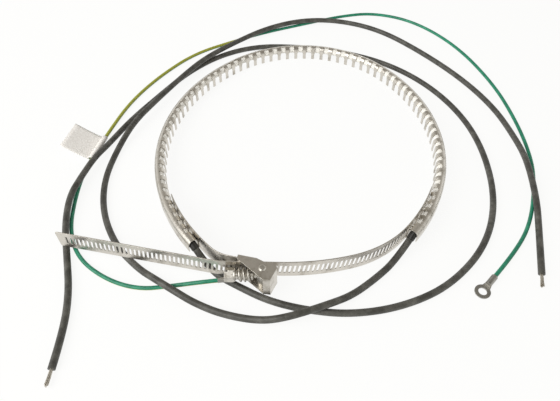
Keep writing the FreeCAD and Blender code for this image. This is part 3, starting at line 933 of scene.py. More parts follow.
def turned(profile: Sequence[tuple[float, float]], steps: int) -> Mesh:
    """Spins a half profile of (x, radius) pairs about the X axis.

    Args:
        profile: from one end of the axis to the other.
        steps: sides of the round shape.

    Returns:
        A closed mesh.
    """
    mesh = bmesh.new()
    verts = [mesh.verts.new((x, radius, 0.0)) for x, radius in profile]
    edges = [mesh.edges.new(pair) for pair in zip(verts, verts[1:])]
    bmesh.ops.spin(
        mesh, geom=verts + edges, cent=(0, 0, 0), axis=(1, 0, 0), angle=math.tau, steps=steps, use_merge=True,
        dvec=(0, 0, 0), space=Matrix.Identity(4), use_normal_flip=False, use_duplicate=False,
    )
    bmesh.ops.remove_doubles(mesh, verts=mesh.verts, dist=WELD_MM)
    bmesh.ops.recalc_face_normals(mesh, faces=mesh.faces)
    return mesh


def tube_along(points: Sequence[Vector], diameter: float, sides: int) -> Mesh:
    """Draws a round tube along a line, with turns and millimetres as its UV map.

    Args:
        points: of the line, in millimetres.
        diameter: of the tube.
        sides: of its section.

    Returns:
        A mesh with closed ends. Its first side points up at the start.
    """
    mesh = bmesh.new()
    uv = mesh.loops.layers.uv.new("UVMap")
    along = mesh.verts.layers.float.new("distance")
    heading = (points[1] - points[0]).normalized()
    up = (UP - heading * UP.dot(heading)).normalized()
    ring = bmesh.ops.create_circle(mesh, cap_ends=False, segments=sides, radius=diameter / 2.0)["verts"]
    basis = Matrix((up.cross(heading), up, heading)).transposed().to_4x4()
    frame = Matrix.Translation(points[0]) @ basis
    bmesh.ops.transform(mesh, matrix=frame, verts=ring)
    edges = list(mesh.edges)
    distance = 0.0
    bmesh.ops.contextual_create(mesh, geom=edges)
    rings = [ring]
    for number in range(1, len(points)):
        ahead = points[min(number + 1, len(points) - 1)] - points[number - 1]
        turn = frame.to_3x3().col[2].rotation_difference(ahead.normalized()).to_matrix().to_4x4()
        moved = Matrix.Translation(points[number]) @ turn @ frame.to_3x3().to_4x4()
        distance += (points[number] - points[number - 1]).length
        verts, edges = extrude(mesh, edges)
        bmesh.ops.transform(mesh, matrix=moved @ frame.inverted(), verts=verts)
        for vert in verts:
            vert[along] = distance
        rings.append(next_row(rings[-1], verts))
        frame = moved
    bmesh.ops.contextual_create(mesh, geom=edges)
    order = {vert: number / sides for ring in rings for number, vert in enumerate(ring)}
    for face in mesh.faces:
        turns = [order[loop.vert] for loop in face.loops]
        wraps = max(turns) - min(turns) > 0.5
        for loop, value in zip(face.loops, turns):
            loop[uv].uv = (value + 1.0 if wraps and value < 0.25 else value, loop.vert[along])
    mesh.verts.layers.float.remove(along)
    bmesh.ops.recalc_face_normals(mesh, faces=mesh.faces)
    return mesh


def smooth_line(route: Sequence[Vector]) -> list[Vector]:
    """Gives the points of the smooth line that a cord takes along its route.

    Args:
        route: the control points, in millimetres.

    Returns:
        Points close together along the NURBS spline, in millimetres.
    """
    data = bpy.data.curves.new("route", "CURVE")
    data.dimensions = "3D"
    data.resolution_u = 10
    spline = data.splines.new("NURBS")
    spline.points.add(len(route) - 1)
    for point, corner in zip(spline.points, route):
        point.co = (*(corner * MM), 1.0)
    spline.order_u = 3
    spline.use_endpoint_u = True
    helper = placed("route", data)
    bpy.context.view_layer.update()
    line = bpy.data.meshes.new_from_object(helper.evaluated_get(bpy.context.evaluated_depsgraph_get()))
    points = [vert.co / MM for vert in line.vertices]
    bpy.data.objects.remove(helper)
    bpy.data.meshes.remove(line)
    return points


@dataclass
class HeaterRing:
    """The folded comb, the heating rope that lies in it and the sleeves that end it."""

    root_angle: float = 94.0
    crown_steps: int = 7
    finger_bend_steps: int = 9
    root_width: float = 3.3
    tip_width: float = 2.4
    # The fingers' bend between these angles gets painted shade.
    painted_shade_start: float = 86.0
    painted_shade_end: float = 34.0
    rope_gap: float = 0.3
    rope_steps: int = 160
    sleeve_back_round: float = 0.3
    sleeve_lip: Sequence[Span] = ((0.8, 0.0), (0.25, 0.12), (0.0, 0.45))

    def profile(self) -> list[Vector]:
        """Gives the strip's outer face, from the foot of the outer wall to the fingers' root.

        Returns:
            The points, in millimetres.
        """
        half = SIZES.channel_width / 2.0
        spring = SIZES.channel_height - half
        sweep = (180.0 - self.root_angle) / self.crown_steps
        angles = [180.0 - sweep * step for step in range(self.crown_steps + 1)]
        foot = Vector((0.0, -half, SIZES.channel_height - SIZES.outer_wall_height))
        arc = [Vector((0.0, half * cosd(angle), spring + half * sind(angle))) for angle in angles]
        return [foot, *arc]

    def build_channel(self, line: PlanLine, finishes: Finishes) -> Piece:
        """Builds the channel: a strip drawn along the ring, with fingers drawn down from its edge.

        Args:
            line: the middle of the channel in plan.
            finishes: every finish of the object.

        Returns:
            The piece's object.
        """
        inner = line.shifted(SIZES.channel_width / 2.0).length()
        stretch = line.length() / inner
        gaps = int((inner - SIZES.finger_width) / SIZES.finger_pitch)
        first = (inner - (gaps - 1) * SIZES.finger_pitch) / 2.0
        half_gap = (SIZES.finger_pitch - self.root_width) / 2.0
        stops = [0.0]
        for number in range(gaps):
            middle = first + number * SIZES.finger_pitch
            stops += [middle - half_gap, middle, middle + half_gap]
        stops.append(inner)
        stations = [line.frame(stop * stretch) for stop in stops]
        mesh, rows = extruded_strip(self.profile(), stations)
        for number in range(0, len(stops) - 1, 3):
            root = (rows[number][-1], rows[number + 1][-1])
            middle = stations[number].lerp(stations[number + 1], 0.5)
            self.draw_finger(mesh, root, middle, stops[number + 1] - stops[number])
        bmesh.ops.remove_doubles(mesh, verts=mesh.verts, dist=WELD_MM)
        bmesh.ops.recalc_face_normals(mesh, faces=mesh.faces)
        piece = finish_piece(
            "comb_channel", mesh, SIZES.ring_frame(), finishes.comb, "heater_channel",
        )
        add_modifier(piece, "SOLIDIFY", thickness=SIZES.sheet * MM, offset=-1.0, use_even_offset=True)
        add_edge_rounding(piece, width_mm=0.12, segments=1)
        return piece

    def draw_finger(self, mesh: Mesh, root: tuple[Vert, Vert], middle: Matrix, width: float) -> None:
        """Draws one finger from the strip's inner edge round the rest of the fold and down to its tip.

        Args:
            mesh: the channel's.
            root: the two vertices that the finger hangs from.
            middle: the frame between them.
            width: of the finger at its root.
        """
        left, right = root
        edge = mesh.edges.get(root)
        across = (right.co - left.co).normalized()
        half = SIZES.channel_width / 2.0
        spring = SIZES.channel_height - half
        inward = middle.to_3x3() @ Vector((0, 1, 0))
        steps = []
        for step in range(1, self.finger_bend_steps + 1):
            angle = self.root_angle * (1.0 - step / self.finger_bend_steps)
            # Painted shade on the upper bend of each finger, standing in for its dark reflection.
            painted_shade_weight = float(self.painted_shade_end < angle < self.painted_shade_start)
            steps.append((half * cosd(angle), spring + half * sind(angle), width, painted_shade_weight))
        narrow = width - (self.root_width - self.tip_width)
        shoulder = SIZES.finger_shoulder
        slope = SIZES.finger_shoulder_slope
        for height, wide in ((shoulder, width), (shoulder - slope, narrow), (0.0, narrow)):
            steps.append((half, height, wide, 0.0))
        heat = mesh.verts.layers.float[SHADE_PAINT_LAYER]
        base = (left.co + right.co) * 0.5 - inward * (half * cosd(self.root_angle))
        base.z = 0.0
        for out, height, wide, painted_shade_weight in steps:
            verts, (edge,) = extrude(mesh, [edge])
            for vert in verts:
                side = math.copysign(0.5, (vert.co - base).dot(across))
                vert.co = base + inward * out + across * (side * wide) + UP * height
                vert[heat] = painted_shade_weight

    def build_rope(self, line: PlanLine, finishes: Finishes) -> Piece:
        """Builds the heating rope inside the channel, up to just short of the sleeves.

        Args:
            line: the middle of the channel in plan.
            finishes: every finish of the object.

        Returns:
            The piece's object.
        """
        slope = SIZES.exit_slope
        reach = SIZES.sleeve_inside * cosd(slope) + SIZES.sleeve_diameter / 2.0 * sind(slope)
        inset = reach + self.rope_gap
        height = SIZES.channel_height - SIZES.sheet - SIZES.rope_clearance - SIZES.rope_diameter / 2.0
        span = line.length() - 2.0 * inset
        points = []
        for number in range(self.rope_steps + 1):
            x, y, _ = line.at(inset + span * number / self.rope_steps)
            points.append(Vector((x, y, height)))
        mesh = tube_along(points, SIZES.rope_diameter, sides=20)
        return finish_piece(
            "braided_rope", mesh, SIZES.ring_frame(), finishes.rope, "heating_rope",
        )

    def build_sleeve(self, side: Side, line: PlanLine, finishes: Finishes) -> Piece:
        """Builds the shrunk sleeve at one end of the ring.

        Args:
            side: the end of the ring.
            line: the middle of the channel in plan.
            finishes: every finish of the object.

        Returns:
            The piece's object.
        """
        radius = SIZES.sleeve_diameter / 2.0
        start, end = -SIZES.sleeve_inside, SIZES.sleeve_outside
        back = self.sleeve_back_round
        lip = [(end - inset, radius - drop) for inset, drop in self.sleeve_lip]
        profile = [(start, 0.0), (start, radius - back), (start + back, radius), *lip, (end, 0.0)]
        mesh = turned(profile, steps=28)
        frame = SIZES.ring_frame() @ exit_frame(side, line)
        node = "end_sleeve_" + side.value
        return finish_piece(node + "_shrunk", mesh, frame, finishes.sleeve, node)

    def build(self, line: PlanLine, finishes: Finishes) -> None:
        """Builds and dresses every piece of the ring.

        Args:
            line: the middle of the channel in plan.
            finishes: every finish of the object.
        """
        self.build_channel(line, finishes)
        self.build_rope(line, finishes)
        for side in Side:
            self.build_sleeve(side, line, finishes)


def exit_frame(side: Side, line: PlanLine) -> Matrix:
    """Gives the frame at a sleeve's mouth in the ring's frame, its X axis out along the sleeve.

    Args:
        side: the end of the ring.
        line: the middle of the channel in plan.

    Returns:
        The frame, as a matrix.
    """
    x, y, heading = line.at(0.0 if side is Side.RIGHT else line.length())
    if side is Side.RIGHT:
        heading += 180.0
    turn = Matrix.Rotation(math.radians(heading), 4, "Z")
    slope = Matrix.Rotation(math.radians(SIZES.exit_slope), 4, "Y")
    return Matrix.Translation((x, y, SIZES.sleeve_height)) @ turn @ slope


@dataclass
class ClampBand:
    """The plain strap and the slotted band that the worm screw pulls on."""

    slot_lean: float = 8.0
    slot_sides: int = 16
    cell_heights: Sequence[float] = (0.0, 0.42, 0.78, 1.0, 1.0)
    end_rows: Sequence[Span] = ((0.55, 0.0), (0.9, 0.05), (1.0, 0.16))
    seam_steps: int = 60

    def build_strap(self, line: PlanLine, finishes: Finishes) -> Piece:
        """Builds the plain strap.

        Args:
            line: the middle of the channel in plan.
            finishes: every finish of the object.

        Returns:
            The piece's object.
        """
        strap = strap_line(line)
        length = strap.length()
        stations = [strap.frame(length * step / self.seam_steps) for step in range(self.seam_steps + 1)]
        foot = SIZES.band_foot
        heights = [foot + SIZES.band_width * share for share in (0.0, 0.25, 0.5, 0.75, 1.0)]
        mesh, _ = extruded_strip([Vector((0.0, 0.0, height)) for height in heights], stations)
        piece = finish_piece(
            "plain_strap", mesh, SIZES.ring_frame(), finishes.strip, "left_strap",
        )
        add_modifier(piece, "SOLIDIFY", thickness=SIZES.band_thickness * MM, offset=0.0)
        add_edge_rounding(piece, width_mm=0.14)
        return piece

    def slot_cell(self) -> Mesh:
        """Builds one pitch of the slotted band in the XZ plane: a plate with a leaning, round-ended slot.

        Returns:
            The mesh, in the piece's own frame.
        """
        mesh = bmesh.new()
        radius = SIZES.slot_width / 2.0
        straight = SIZES.slot_height / 2.0 - radius
        circle = bmesh.ops.create_circle(mesh, cap_ends=False, segments=self.slot_sides, radius=radius)
        slot = circle["verts"]
        upright = Matrix.Rotation(math.radians(90.0), 3, "X")
        bmesh.ops.rotate(mesh, verts=slot, cent=(0, 0, 0), matrix=upright)
        for vert in extrude(mesh, mesh.edges[:])[0]:
            vert.co = self.border_point(vert.co)
        for vert in slot:
            if abs(vert.co.z) > NEAR_MM:
                vert.co.z += math.copysign(straight, vert.co.z)
        lean = Matrix.Rotation(math.radians(-self.slot_lean), 3, "Y")
        bmesh.ops.rotate(mesh, verts=slot, cent=(0, 0, 0), matrix=lean)
        bmesh.ops.translate(mesh, verts=mesh.verts, vec=(0, 0, SIZES.band_foot + SIZES.band_width / 2.0))
        return mesh

    def border_point(self, point: Vector) -> Vector:
        """Moves a point of the slot's circle out to its cell's border, at heights that neighbours share.

        Args:
            point: on the circle.

        Returns:
            Its place on the border.
        """
        lean = abs(math.degrees(math.atan2(point.z, point.x)))
        steps = round(min(lean, 180.0 - lean) / (360.0 / self.slot_sides))
        upright = steps == self.slot_sides // 4
        x = 0.0 if upright else math.copysign(SIZES.slot_pitch / 2.0, point.x)
        z = math.copysign(self.cell_heights[steps] * SIZES.band_width / 2.0, point.z) if steps else 0.0
        return Vector((x, 0.0, z))

    def build_slotted(self, line: PlanLine, finishes: Finishes) -> Piece:
        """Builds the slotted band: cells side by side and plain ends, bent along the band's line.

        Args:
            line: the middle of the channel in plan.
            finishes: every finish of the object.

        Returns:
            The piece's object.
        """
        band = slotted_line(line)
        length = band.length()
        count = int((length - 2.0 * SIZES.plain_end) / SIZES.slot_pitch)
        first = (length - (count - 1) * SIZES.slot_pitch) / 2.0
        mesh = self.slot_cell()
        cell = mesh.verts[:] + mesh.edges[:] + mesh.faces[:]
        bmesh.ops.translate(mesh, verts=mesh.verts, vec=(first, 0, 0))
        for number in range(1, count):
            copy = bmesh.ops.duplicate(mesh, geom=cell)["geom"]
            verts = [part for part in copy if isinstance(part, Vert)]
            bmesh.ops.translate(mesh, verts=verts, vec=(number * SIZES.slot_pitch, 0, 0))
        bmesh.ops.remove_doubles(mesh, verts=mesh.verts, dist=CELL_WELD_MM)
        last = first + (count - 1) * SIZES.slot_pitch
        self.draw_end(mesh, first - SIZES.slot_pitch / 2.0, 0.0)
        self.draw_end(mesh, last + SIZES.slot_pitch / 2.0, length)
        for vert in mesh.verts:
            vert.co = band.frame(vert.co.x) @ Vector((0.0, 0.0, vert.co.z))
        bmesh.ops.recalc_face_normals(mesh, faces=mesh.faces)
        piece = finish_piece(
            "band_slotted", mesh, SIZES.ring_frame(), finishes.strip, "slotted_band",
        )
        add_modifier(piece, "SOLIDIFY", thickness=SIZES.band_thickness * MM, offset=0.0)
        add_edge_rounding(piece, width_mm=0.1, segments=1)
        return piece

    def draw_end(self, mesh: Mesh, start: float, end: float) -> None:
        """Draws a plain end from the last cell, with its corners rounded off.

        Args:
            mesh: the band's, still straight.
            start: where the last cell ends.
            end: where the band ends.
        """
        half = SIZES.band_width / 2.0
        middle = SIZES.band_foot + half
        reached = start
        for share, inset in self.end_rows:
            edges = [
                edge for edge in mesh.edges
                if all(abs(vert.co.x - reached) < CELL_WELD_MM for vert in edge.verts)
            ]
            reached = start + (end - start) * share
            for vert in extrude(mesh, edges)[0]:
                off = vert.co.z - middle
                vert.co = Vector((reached, 0.0, middle + off * (1.0 - inset * (abs(off) / half) ** 3)))

    def build(self, line: PlanLine, finishes: Finishes) -> None:
        """Builds and dresses the strap, the band and the ground terminal on the strap.

        Args:
            line: the middle of the channel in plan.
            finishes: every finish of the object.
        """
        self.build_strap(line, finishes)
        self.build_slotted(line, finishes)
        softened("ground_terminal", finishes.tinned, rounding_mm=0.12)
        softened("ground_rivet", finishes.plated, rounding_mm=0.12)


def gathered(meshes: Iterable[Mesh]) -> Mesh:
    """Puts several meshes into one, and frees them.

    Args:
        meshes: what goes in.

    Returns:
        The one mesh.
    """
    whole = bmesh.new()
    for mesh in meshes:
        helper = bpy.data.meshes.new("helper")
        mesh.to_mesh(helper)
        mesh.free()
        whole.from_mesh(helper)
        bpy.data.meshes.remove(helper)
    return whole


@dataclass
class WormClamp:
    """The saddle, its pivot pins, the swivel block and the worm screw."""

    thread_pitch: float = 2.42
    thread_root: float = 5.3
    thread_turns: int = 3
    steps_per_turn: int = 36
    drive_slot_width: float = 1.2
    drive_slot_depth: float = 1.6
    tooth: Sequence[Span] = ((0.34, 0.1), (0.44, 0.0), (0.56, 0.0), (0.66, 0.1))
    thread_sunk: float = 0.15
    thread_start: float = 0.2
    flange_dome: Sequence[Span] = ((-0.1, 0.35), (0.15, 0.08), (0.45, 0.0))
    flange_fillet: float = 0.25
    root_chamfer: float = 0.6
    tip_chamfer: float = 0.3

    def thread(self, start: float) -> Mesh:
        """Builds the worm thread: a tooth's section spun round the screw while it moves along it.

        Args:
            start: where it starts along the screw.

        Returns:
            The mesh, in the piece's own frame.
        """
        mesh = bmesh.new()
        root = self.thread_root / 2.0 - self.thread_sunk
        crest = SIZES.screw_diameter / 2.0
        pitch = self.thread_pitch
        section = [(0.0, root), *((share * pitch, crest - drop) for share, drop in self.tooth), (pitch, root)]
        verts = [mesh.verts.new((start + x, radius, 0.0)) for x, radius in section]
        face = mesh.faces.new(verts)
        steps = self.thread_turns * self.steps_per_turn
        bmesh.ops.spin(
            mesh, geom=[face], cent=(0, 0, 0), axis=(1, 0, 0), angle=math.tau * self.thread_turns,
            steps=steps, dvec=(pitch / self.steps_per_turn, 0, 0), space=Matrix.Identity(4),
            use_merge=False, use_normal_flip=False, use_duplicate=False,
        )
        bmesh.ops.recalc_face_normals(mesh, faces=mesh.faces)
        return mesh

    def shank(self) -> Mesh:
        """Builds the flange, the root under the thread, and the neck with its riveted tip.

        Returns:
            The mesh, in the piece's own frame.
        """
        start = -SIZES.neck_length - SIZES.thread_length
        flange = start - SIZES.flange_thickness
        root = self.thread_root / 2.0
        neck = SIZES.neck_diameter / 2.0
        wide = SIZES.flange_diameter / 2.0
        tip = bounds_along_screw("worm_screw")[1]
        dome = [(flange + out, wide - drop) for out, drop in self.flange_dome]
        fillet, chamfer, point = self.flange_fillet, self.root_chamfer, self.tip_chamfer
        shoulder = -SIZES.neck_length
        return turned([
            (dome[0][0], 0.0), *dome, (start - fillet, wide), (start, wide - fillet),
            (start, root + fillet), (start + fillet, root), (shoulder - chamfer, root),
            (shoulder, root - chamfer), (shoulder, neck), (tip - point, neck), (tip, neck - point),
            (tip, 0.0),
        ], steps=48)

    def head(self) -> Mesh:
        """Builds the hexagon head, with the screwdriver slot across it.

        Returns:
            The mesh, in the piece's own frame.
        """
        end = -SIZES.neck_length - SIZES.thread_length - SIZES.flange_thickness
        start = end - SIZES.head_length
        floor = start + self.drive_slot_depth
        half = self.drive_slot_width / 2.0
        corner = SIZES.head_across_flats / 2.0 / cosd(30.0)
        mesh = bmesh.new()
        bmesh.ops.create_cone(
            mesh, cap_ends=True, segments=6, radius1=corner, radius2=corner, depth=SIZES.head_length,
        )
        upright = Matrix.Rotation(math.radians(90.0), 4, "Y") @ Matrix.Rotation(math.radians(30.0), 4, "Z")
        middle = Matrix.Translation(((start + end) / 2.0, 0, 0))
        bmesh.ops.transform(mesh, matrix=middle @ upright, verts=mesh.verts)
        cuts = (((0, half, 0), (0, 1, 0)), ((0, -half, 0), (0, 1, 0)), ((floor, 0, 0), (1, 0, 0)))
        for cut, normal in cuts:
            whole = mesh.verts[:] + mesh.edges[:] + mesh.faces[:]
            bmesh.ops.bisect_plane(mesh, geom=whole, plane_co=cut, plane_no=normal)
        middles = [(face, face.calc_center_median()) for face in mesh.faces]
        inside = [face for face, point in middles if abs(point.y) < half and point.x < floor - NEAR_MM]
        bmesh.ops.delete(mesh, geom=inside, context="FACES")
        rim = {vert for edge in mesh.edges if edge.is_boundary for vert in edge.verts}
        pairs = {}
        for side in (-1.0, 1.0):
            beside = sorted((vert for vert in rim if vert.co.y * side > 0), key=lambda vert: vert.co.z)
            mouth = [vert for vert in beside if vert.co.x < start + NEAR_MM]
            deep = [vert for vert in beside if vert.co.x > floor - NEAR_MM]
            mesh.faces.new((mouth[0], mouth[-1], deep[-1], deep[0]))
            pairs[side] = deep[0], deep[-1]
        mesh.faces.new((*pairs[1.0], *reversed(pairs[-1.0])))
        bmesh.ops.recalc_face_normals(mesh, faces=mesh.faces)
        return mesh

    def build_screw(self, finishes: Finishes) -> Piece:
        """Builds the worm screw.

        Args:
            finishes: every finish of the object.

        Returns:
            The piece's object.
        """
        start = -SIZES.neck_length - SIZES.thread_length
        mesh = gathered([self.shank(), self.thread(start + self.thread_start), self.head()])
        return finish_piece(
            "screw_with_thread", mesh, SIZES.screw_frame(), finishes.plated, "worm_screw",
            body="worm",
        )

    def build(self, finishes: Finishes) -> None:
        """Builds and dresses every piece of the worm clamp.

        Args:
            finishes: every finish of the object.
        """
        softened("saddle", finishes.strip, rounding_mm=0.22)
        softened("swivel_block", finishes.plated, rounding_mm=0.25, body="yoke")
        for node in ("pivot_pin_upper", "pivot_pin_lower"):
            softened(node, finishes.plated, rounding_mm=0.2)
        softened("screw_clip", finishes.plated, rounding_mm=0.1, body="worm")
        self.build_screw(finishes)


def bounds_along_screw(node: str) -> tuple[float, float]:
    """Gives how far a CAD node reaches along the screw's axis, from its pivot, in millimetres.

    Args:
        node: the node's name.

    Returns:
        The nearest and the farthest place.
    """
    back = SIZES.screw_frame().inverted()
    reaches = [(back @ (vert.co / MM)).x for vert in bpy.data.objects[node].data.vertices]
    return min(reaches), max(reaches)


LEAD_LEFT_ROUTE = (
    (-15.8, -107.6, 1.95), (1.6, -117.0, 1.95), (22.3, -122.6, 1.95), (46.0, -125.0, 1.95),
    (74.0, -120.3, 1.95), (101.8, -107.3, 1.95), (128.0, -81.1, 1.95), (142.9, -46.6, 1.95),
    (147.0, -3.8, 1.95), (140.9, 34.4, 1.95), (122.1, 71.3, 1.95), (93.1, 99.5, 1.95),
    (57.4, 115.5, 1.95), (20.2, 122.5, 1.95), (-12.4, 122.5, 1.95), (-41.4, 109.7, 1.95),
    (-65.9, 85.6, 1.95), (-82.7, 57.8, 1.95), (-99.5, 29.2, 1.95), (-110.4, 3.6, 1.95),
    (-115.1, -12.3, 5.4), (-119.5, -30.0, 5.4), (-122.7, -45.6, 5.2), (-120.3, -67.1, 3.7),
    (-113.3, -89.9, 1.95), (-106.2, -112.0, 1.95), (-103.0, -134.1, 1.95), (-103.3, -154.2, 1.95),
)
LEAD_RIGHT_ROUTE = (
    (60.8, -103.2, 1.95), (47.2, -113.7, 2.4), (34.5, -121.0, 6.4), (12.3, -128.8, 6.4),
    (-2.9, -129.0, 2.4), (-22.7, -124.8, 1.95), (-37.8, -118.4, 2.4), (-48.3, -112.8, 4.7),
    (-59.6, -105.6, 4.7), (-71.6, -96.8, 1.95), (-87.6, -81.0, 1.95), (-100.4, -57.0, 1.95),
    (-105.8, -29.6, 1.95), (-103.1, -1.5, 1.95), (-95.4, 21.0, 6.4), (-85.3, 42.1, 6.4),
    (-67.2, 75.8, 6.4), (-52.2, 98.4, 7.0), (-30.9, 123.3, 4.8), (-2.9, 146.8, 4.8), (29.7, 160.1, 4.8),
    (64.0, 162.0, 2.4), (96.5, 146.9, 1.95), (125.5, 114.6, 1.95), (150.5, 78.5, 1.95),
    (166.5, 42.7, 1.95), (172.1, 10.2, 1.95), (171.7, -14.7, 4.8), (167.0, -48.0, 4.8),
    (161.6, -72.1, 1.95), (153.6, -100.3, 1.95),
)
GROUND_ROUTE = (
    (-51.1, -107.4, 1.2), (-68.9, -109.6, 1.2), (-88.1, -103.6, 1.2), (-107.2, -89.8, 1.2),
    (-117.5, -69.7, 1.2), (-120.9, -44.7, 1.2), (-120.8, -19.4, 1.7), (-112.3, 19.6, 1.7),
    (-103.9, 51.0, 1.2), (-87.2, 82.2, 1.2), (-63.0, 113.1, 1.2), (-32.4, 131.1, 1.2), (-5.1, 145.4, 1.2),
    (30.7, 159.4, 1.2), (61.8, 171.8, 1.2), (93.1, 177.8, 1.2), (127.8, 163.7, 1.2), (157.0, 125.7, 1.2),
    (174.2, 73.5, 1.2), (178.9, 28.2, 1.2), (177.7, -9.3, 1.2), (171.5, -34.1, 1.2), (160.1, -62.6, 1.2),
    (145.2, -83.8, 1.8),
)


@dataclass
class Cords:
    """The two leads and the ground wire, with what is on their ends, as long as the photograph shows."""

    lead_diameter: float = 3.9
    ground_diameter: float = 2.4
    lead_left_length: float = 821.5
    lead_right_length: float = 842.6
    ground_length: float = 804.4
    ground_end: tuple[float, float] = (127.0, -102.0)
    ring_barrel_diameter: float = 3.6
    strand_count: int = 9
    strand_length: float = 9.0
    strand_diameter: float = 0.55
    strand_spread: float = 0.62
    strand_shortening: float = 0.05
    strand_twist: float = 70.0
    strand_fan: float = 0.45
    strand_sunk: float = 0.4
    strand_steps: int = 8
    label_length: float = 22.0
    label_width: float = 19.4
    label_lift: float = 9.0
    label_sheet: float = 0.16
    label_gap: float = 0.02
    label_clearance: float = 0.5
    label_fold_rise: float = 0.2
    label_fold_out: float = 0.6
    label_curve: float = 1.2
    label_steps_out: int = 8
    label_steps_along: int = 12
    label_points: tuple[int, int] = (6, 7)

    def lead_route(self, side: Side, line: PlanLine) -> list[Vector]:
        """Gives a lead's route: straight out of its sleeve, down to the table, and on.

        Args:
            side: the end of the ring.
            line: the middle of the channel in plan.

        Returns:
            The points, in millimetres.
        """
        frame = SIZES.ring_frame() @ exit_frame(side, line)
        start = frame @ Vector((SIZES.sleeve_outside, 0, 0))
        ahead = (frame.to_3x3() @ Vector((1, 0, 0))).normalized()
        landing = start + ahead * ((self.lead_diameter / 2.0 - start.z) / ahead.z)
        route = LEAD_LEFT_ROUTE if side is Side.LEFT else LEAD_RIGHT_ROUTE
        return [start, landing] + [Vector(point) for point in route]

    def ground_route(self) -> list[Vector]:
        """Gives the ground wire's route, from the terminal on the strap to the ring terminal.

        Returns:
            The points, in millimetres.
        """
        x, y = SIZES.buckle_point(SIZES.barrel_x, SIZES.barrel_out)
        frame = SIZES.ring_frame()
        start = frame @ Vector((x, y, SIZES.barrel_height))
        heading = SIZES.buckle_heading + SIZES.barrel_turn
        away = frame.to_3x3() @ Vector((-cosd(heading), -sind(heading), 0.0))
        end = Vector((*self.ground_end, self.ring_barrel_diameter / 2.0))
        turn = start + away * SIZES.ground_lead_out
        return [start, turn, *(Vector(point) for point in GROUND_ROUTE), end]

    def build_strands(self, side: Side, route: list[Vector], finishes: Finishes) -> Piece:
        """Builds the bared strands at the end of a lead, spread a little.

        Args:
            side: the end of the ring.
            route: the lead's control points.
            finishes: every finish of the object.

        Returns:
            The piece's object.
        """
        end = route[-1]
        ahead = (route[-1] - route[-2]).normalized()
        across = ahead.cross(UP).normalized()
        meshes = []
        for number in range(self.strand_count):
            angle = 360.0 * number / (self.strand_count - 1)
            spread = 0.0 if number == self.strand_count - 1 else self.strand_spread
            offset = across * (spread * cosd(angle)) + UP * (spread * sind(angle))
            length = self.strand_length * (1.0 - self.strand_shortening * (number % 4))
            points = []
            for step in range(self.strand_steps + 1):
                share = step / self.strand_steps
                twist = Matrix.Rotation(math.radians(self.strand_twist * share), 3, ahead)
                fan = 1.0 + self.strand_fan * share * share * (1 if number % 3 else 0)
                out = length * share - self.strand_sunk
                points.append(end + ahead * out + twist @ offset * fan)
            meshes.append(tube_along(points, self.strand_diameter, sides=10))
        node = f"lead_{side.value}_strands"
        return finish_piece(
            node + "_bared", gathered(meshes), Matrix.Identity(4), finishes.strands, node,
        )

    def build_lead(self, side: Side, line: PlanLine, finishes: Finishes) -> Piece:
        """Args:
            side: the end of the ring.
            line: the middle of the channel in plan.
            finishes: every finish of the object.

        Returns:
            The piece's object.
        """
        route = self.lead_route(side, line)
        points = smooth_line(route)
        node = f"lead_{side.value}"
        mesh = tube_along(points, self.lead_diameter, sides=20)
        cord = finish_piece(node + "_jacket", mesh, Matrix.Identity(4), finishes.lead, node)
        strands = self.build_strands(side, route, finishes)
        return cord

    def label_frame(self) -> Matrix:
        """Gives the frame at the middle of the label, its X axis along the wire.

        Returns:
            The frame, as a matrix.
        """
        before, after = (Vector(GROUND_ROUTE[number]) for number in self.label_points)
        heading = math.atan2(after.y - before.y, after.x - before.x)
        middle = (before + after) * 0.5
        return Matrix.Translation((middle.x, middle.y, 0.0)) @ Matrix.Rotation(heading, 4, "Z")

    def build_label(self, finishes: Finishes) -> Piece:
        """Builds the paper label: folded round the wire and stuck to itself, its outer edge off the table.

        Args:
            finishes: every finish of the object.

        Returns:
            The piece's object.
        """
        inner = self.ground_diameter / 2.0 + self.label_clearance
        centre = inner + self.label_fold_rise
        gap = UP * ((self.label_sheet + self.label_gap) / 2.0)
        flag = []
        for step in range(self.label_steps_out + 1):
            share = step / self.label_steps_out
            out = self.label_width * (1.0 - share) + (inner + self.label_fold_out) * share
            height = centre + self.label_lift * (1.0 - share) ** self.label_curve
            flag.append(Vector((0.0, out, height)))
        loop = [
            Vector((0.0, inner * cosd(angle), centre + inner * sind(angle))) for angle in range(40, 321, 20)
        ]
        profile = [point + gap for point in flag] + loop + [point - gap for point in reversed(flag)]
        steps = self.label_steps_along
        places = [(step / steps - 0.5) * self.label_length for step in range(steps + 1)]
        mesh, _ = extruded_strip(profile, [Matrix.Translation((place, 0, 0)) for place in places])
        bmesh.ops.recalc_face_normals(mesh, faces=mesh.faces)
        piece = finish_piece(
            "paper_label", mesh, self.label_frame(), finishes.paper, "label_flag",
        )
        add_modifier(piece, "SOLIDIFY", thickness=self.label_sheet * MM, offset=0.0)
        return piece

    def build_ground(self, finishes: Finishes) -> Piece:
        """Args:
            finishes: every finish of the object.

        Returns:
            The piece's object.
        """
        route = self.ground_route()
        points = smooth_line(route)
        mesh = tube_along(points, self.ground_diameter, sides=16)
        cord = finish_piece(
            "ground_wire_jacket", mesh, Matrix.Identity(4), finishes.ground, "ground_wire",
        )
        label = self.build_label(finishes)
        terminal = softened("ring_terminal", finishes.tinned, rounding_mm=0.18)
        return cord

    def build(self, line: PlanLine, finishes: Finishes) -> None:
        """Builds and dresses every cord.

        Args:
            line: the middle of the channel in plan.
            finishes: every finish of the object.
        """
        for side in Side:
            self.build_lead(side, line, finishes)
        self.build_ground(finishes)


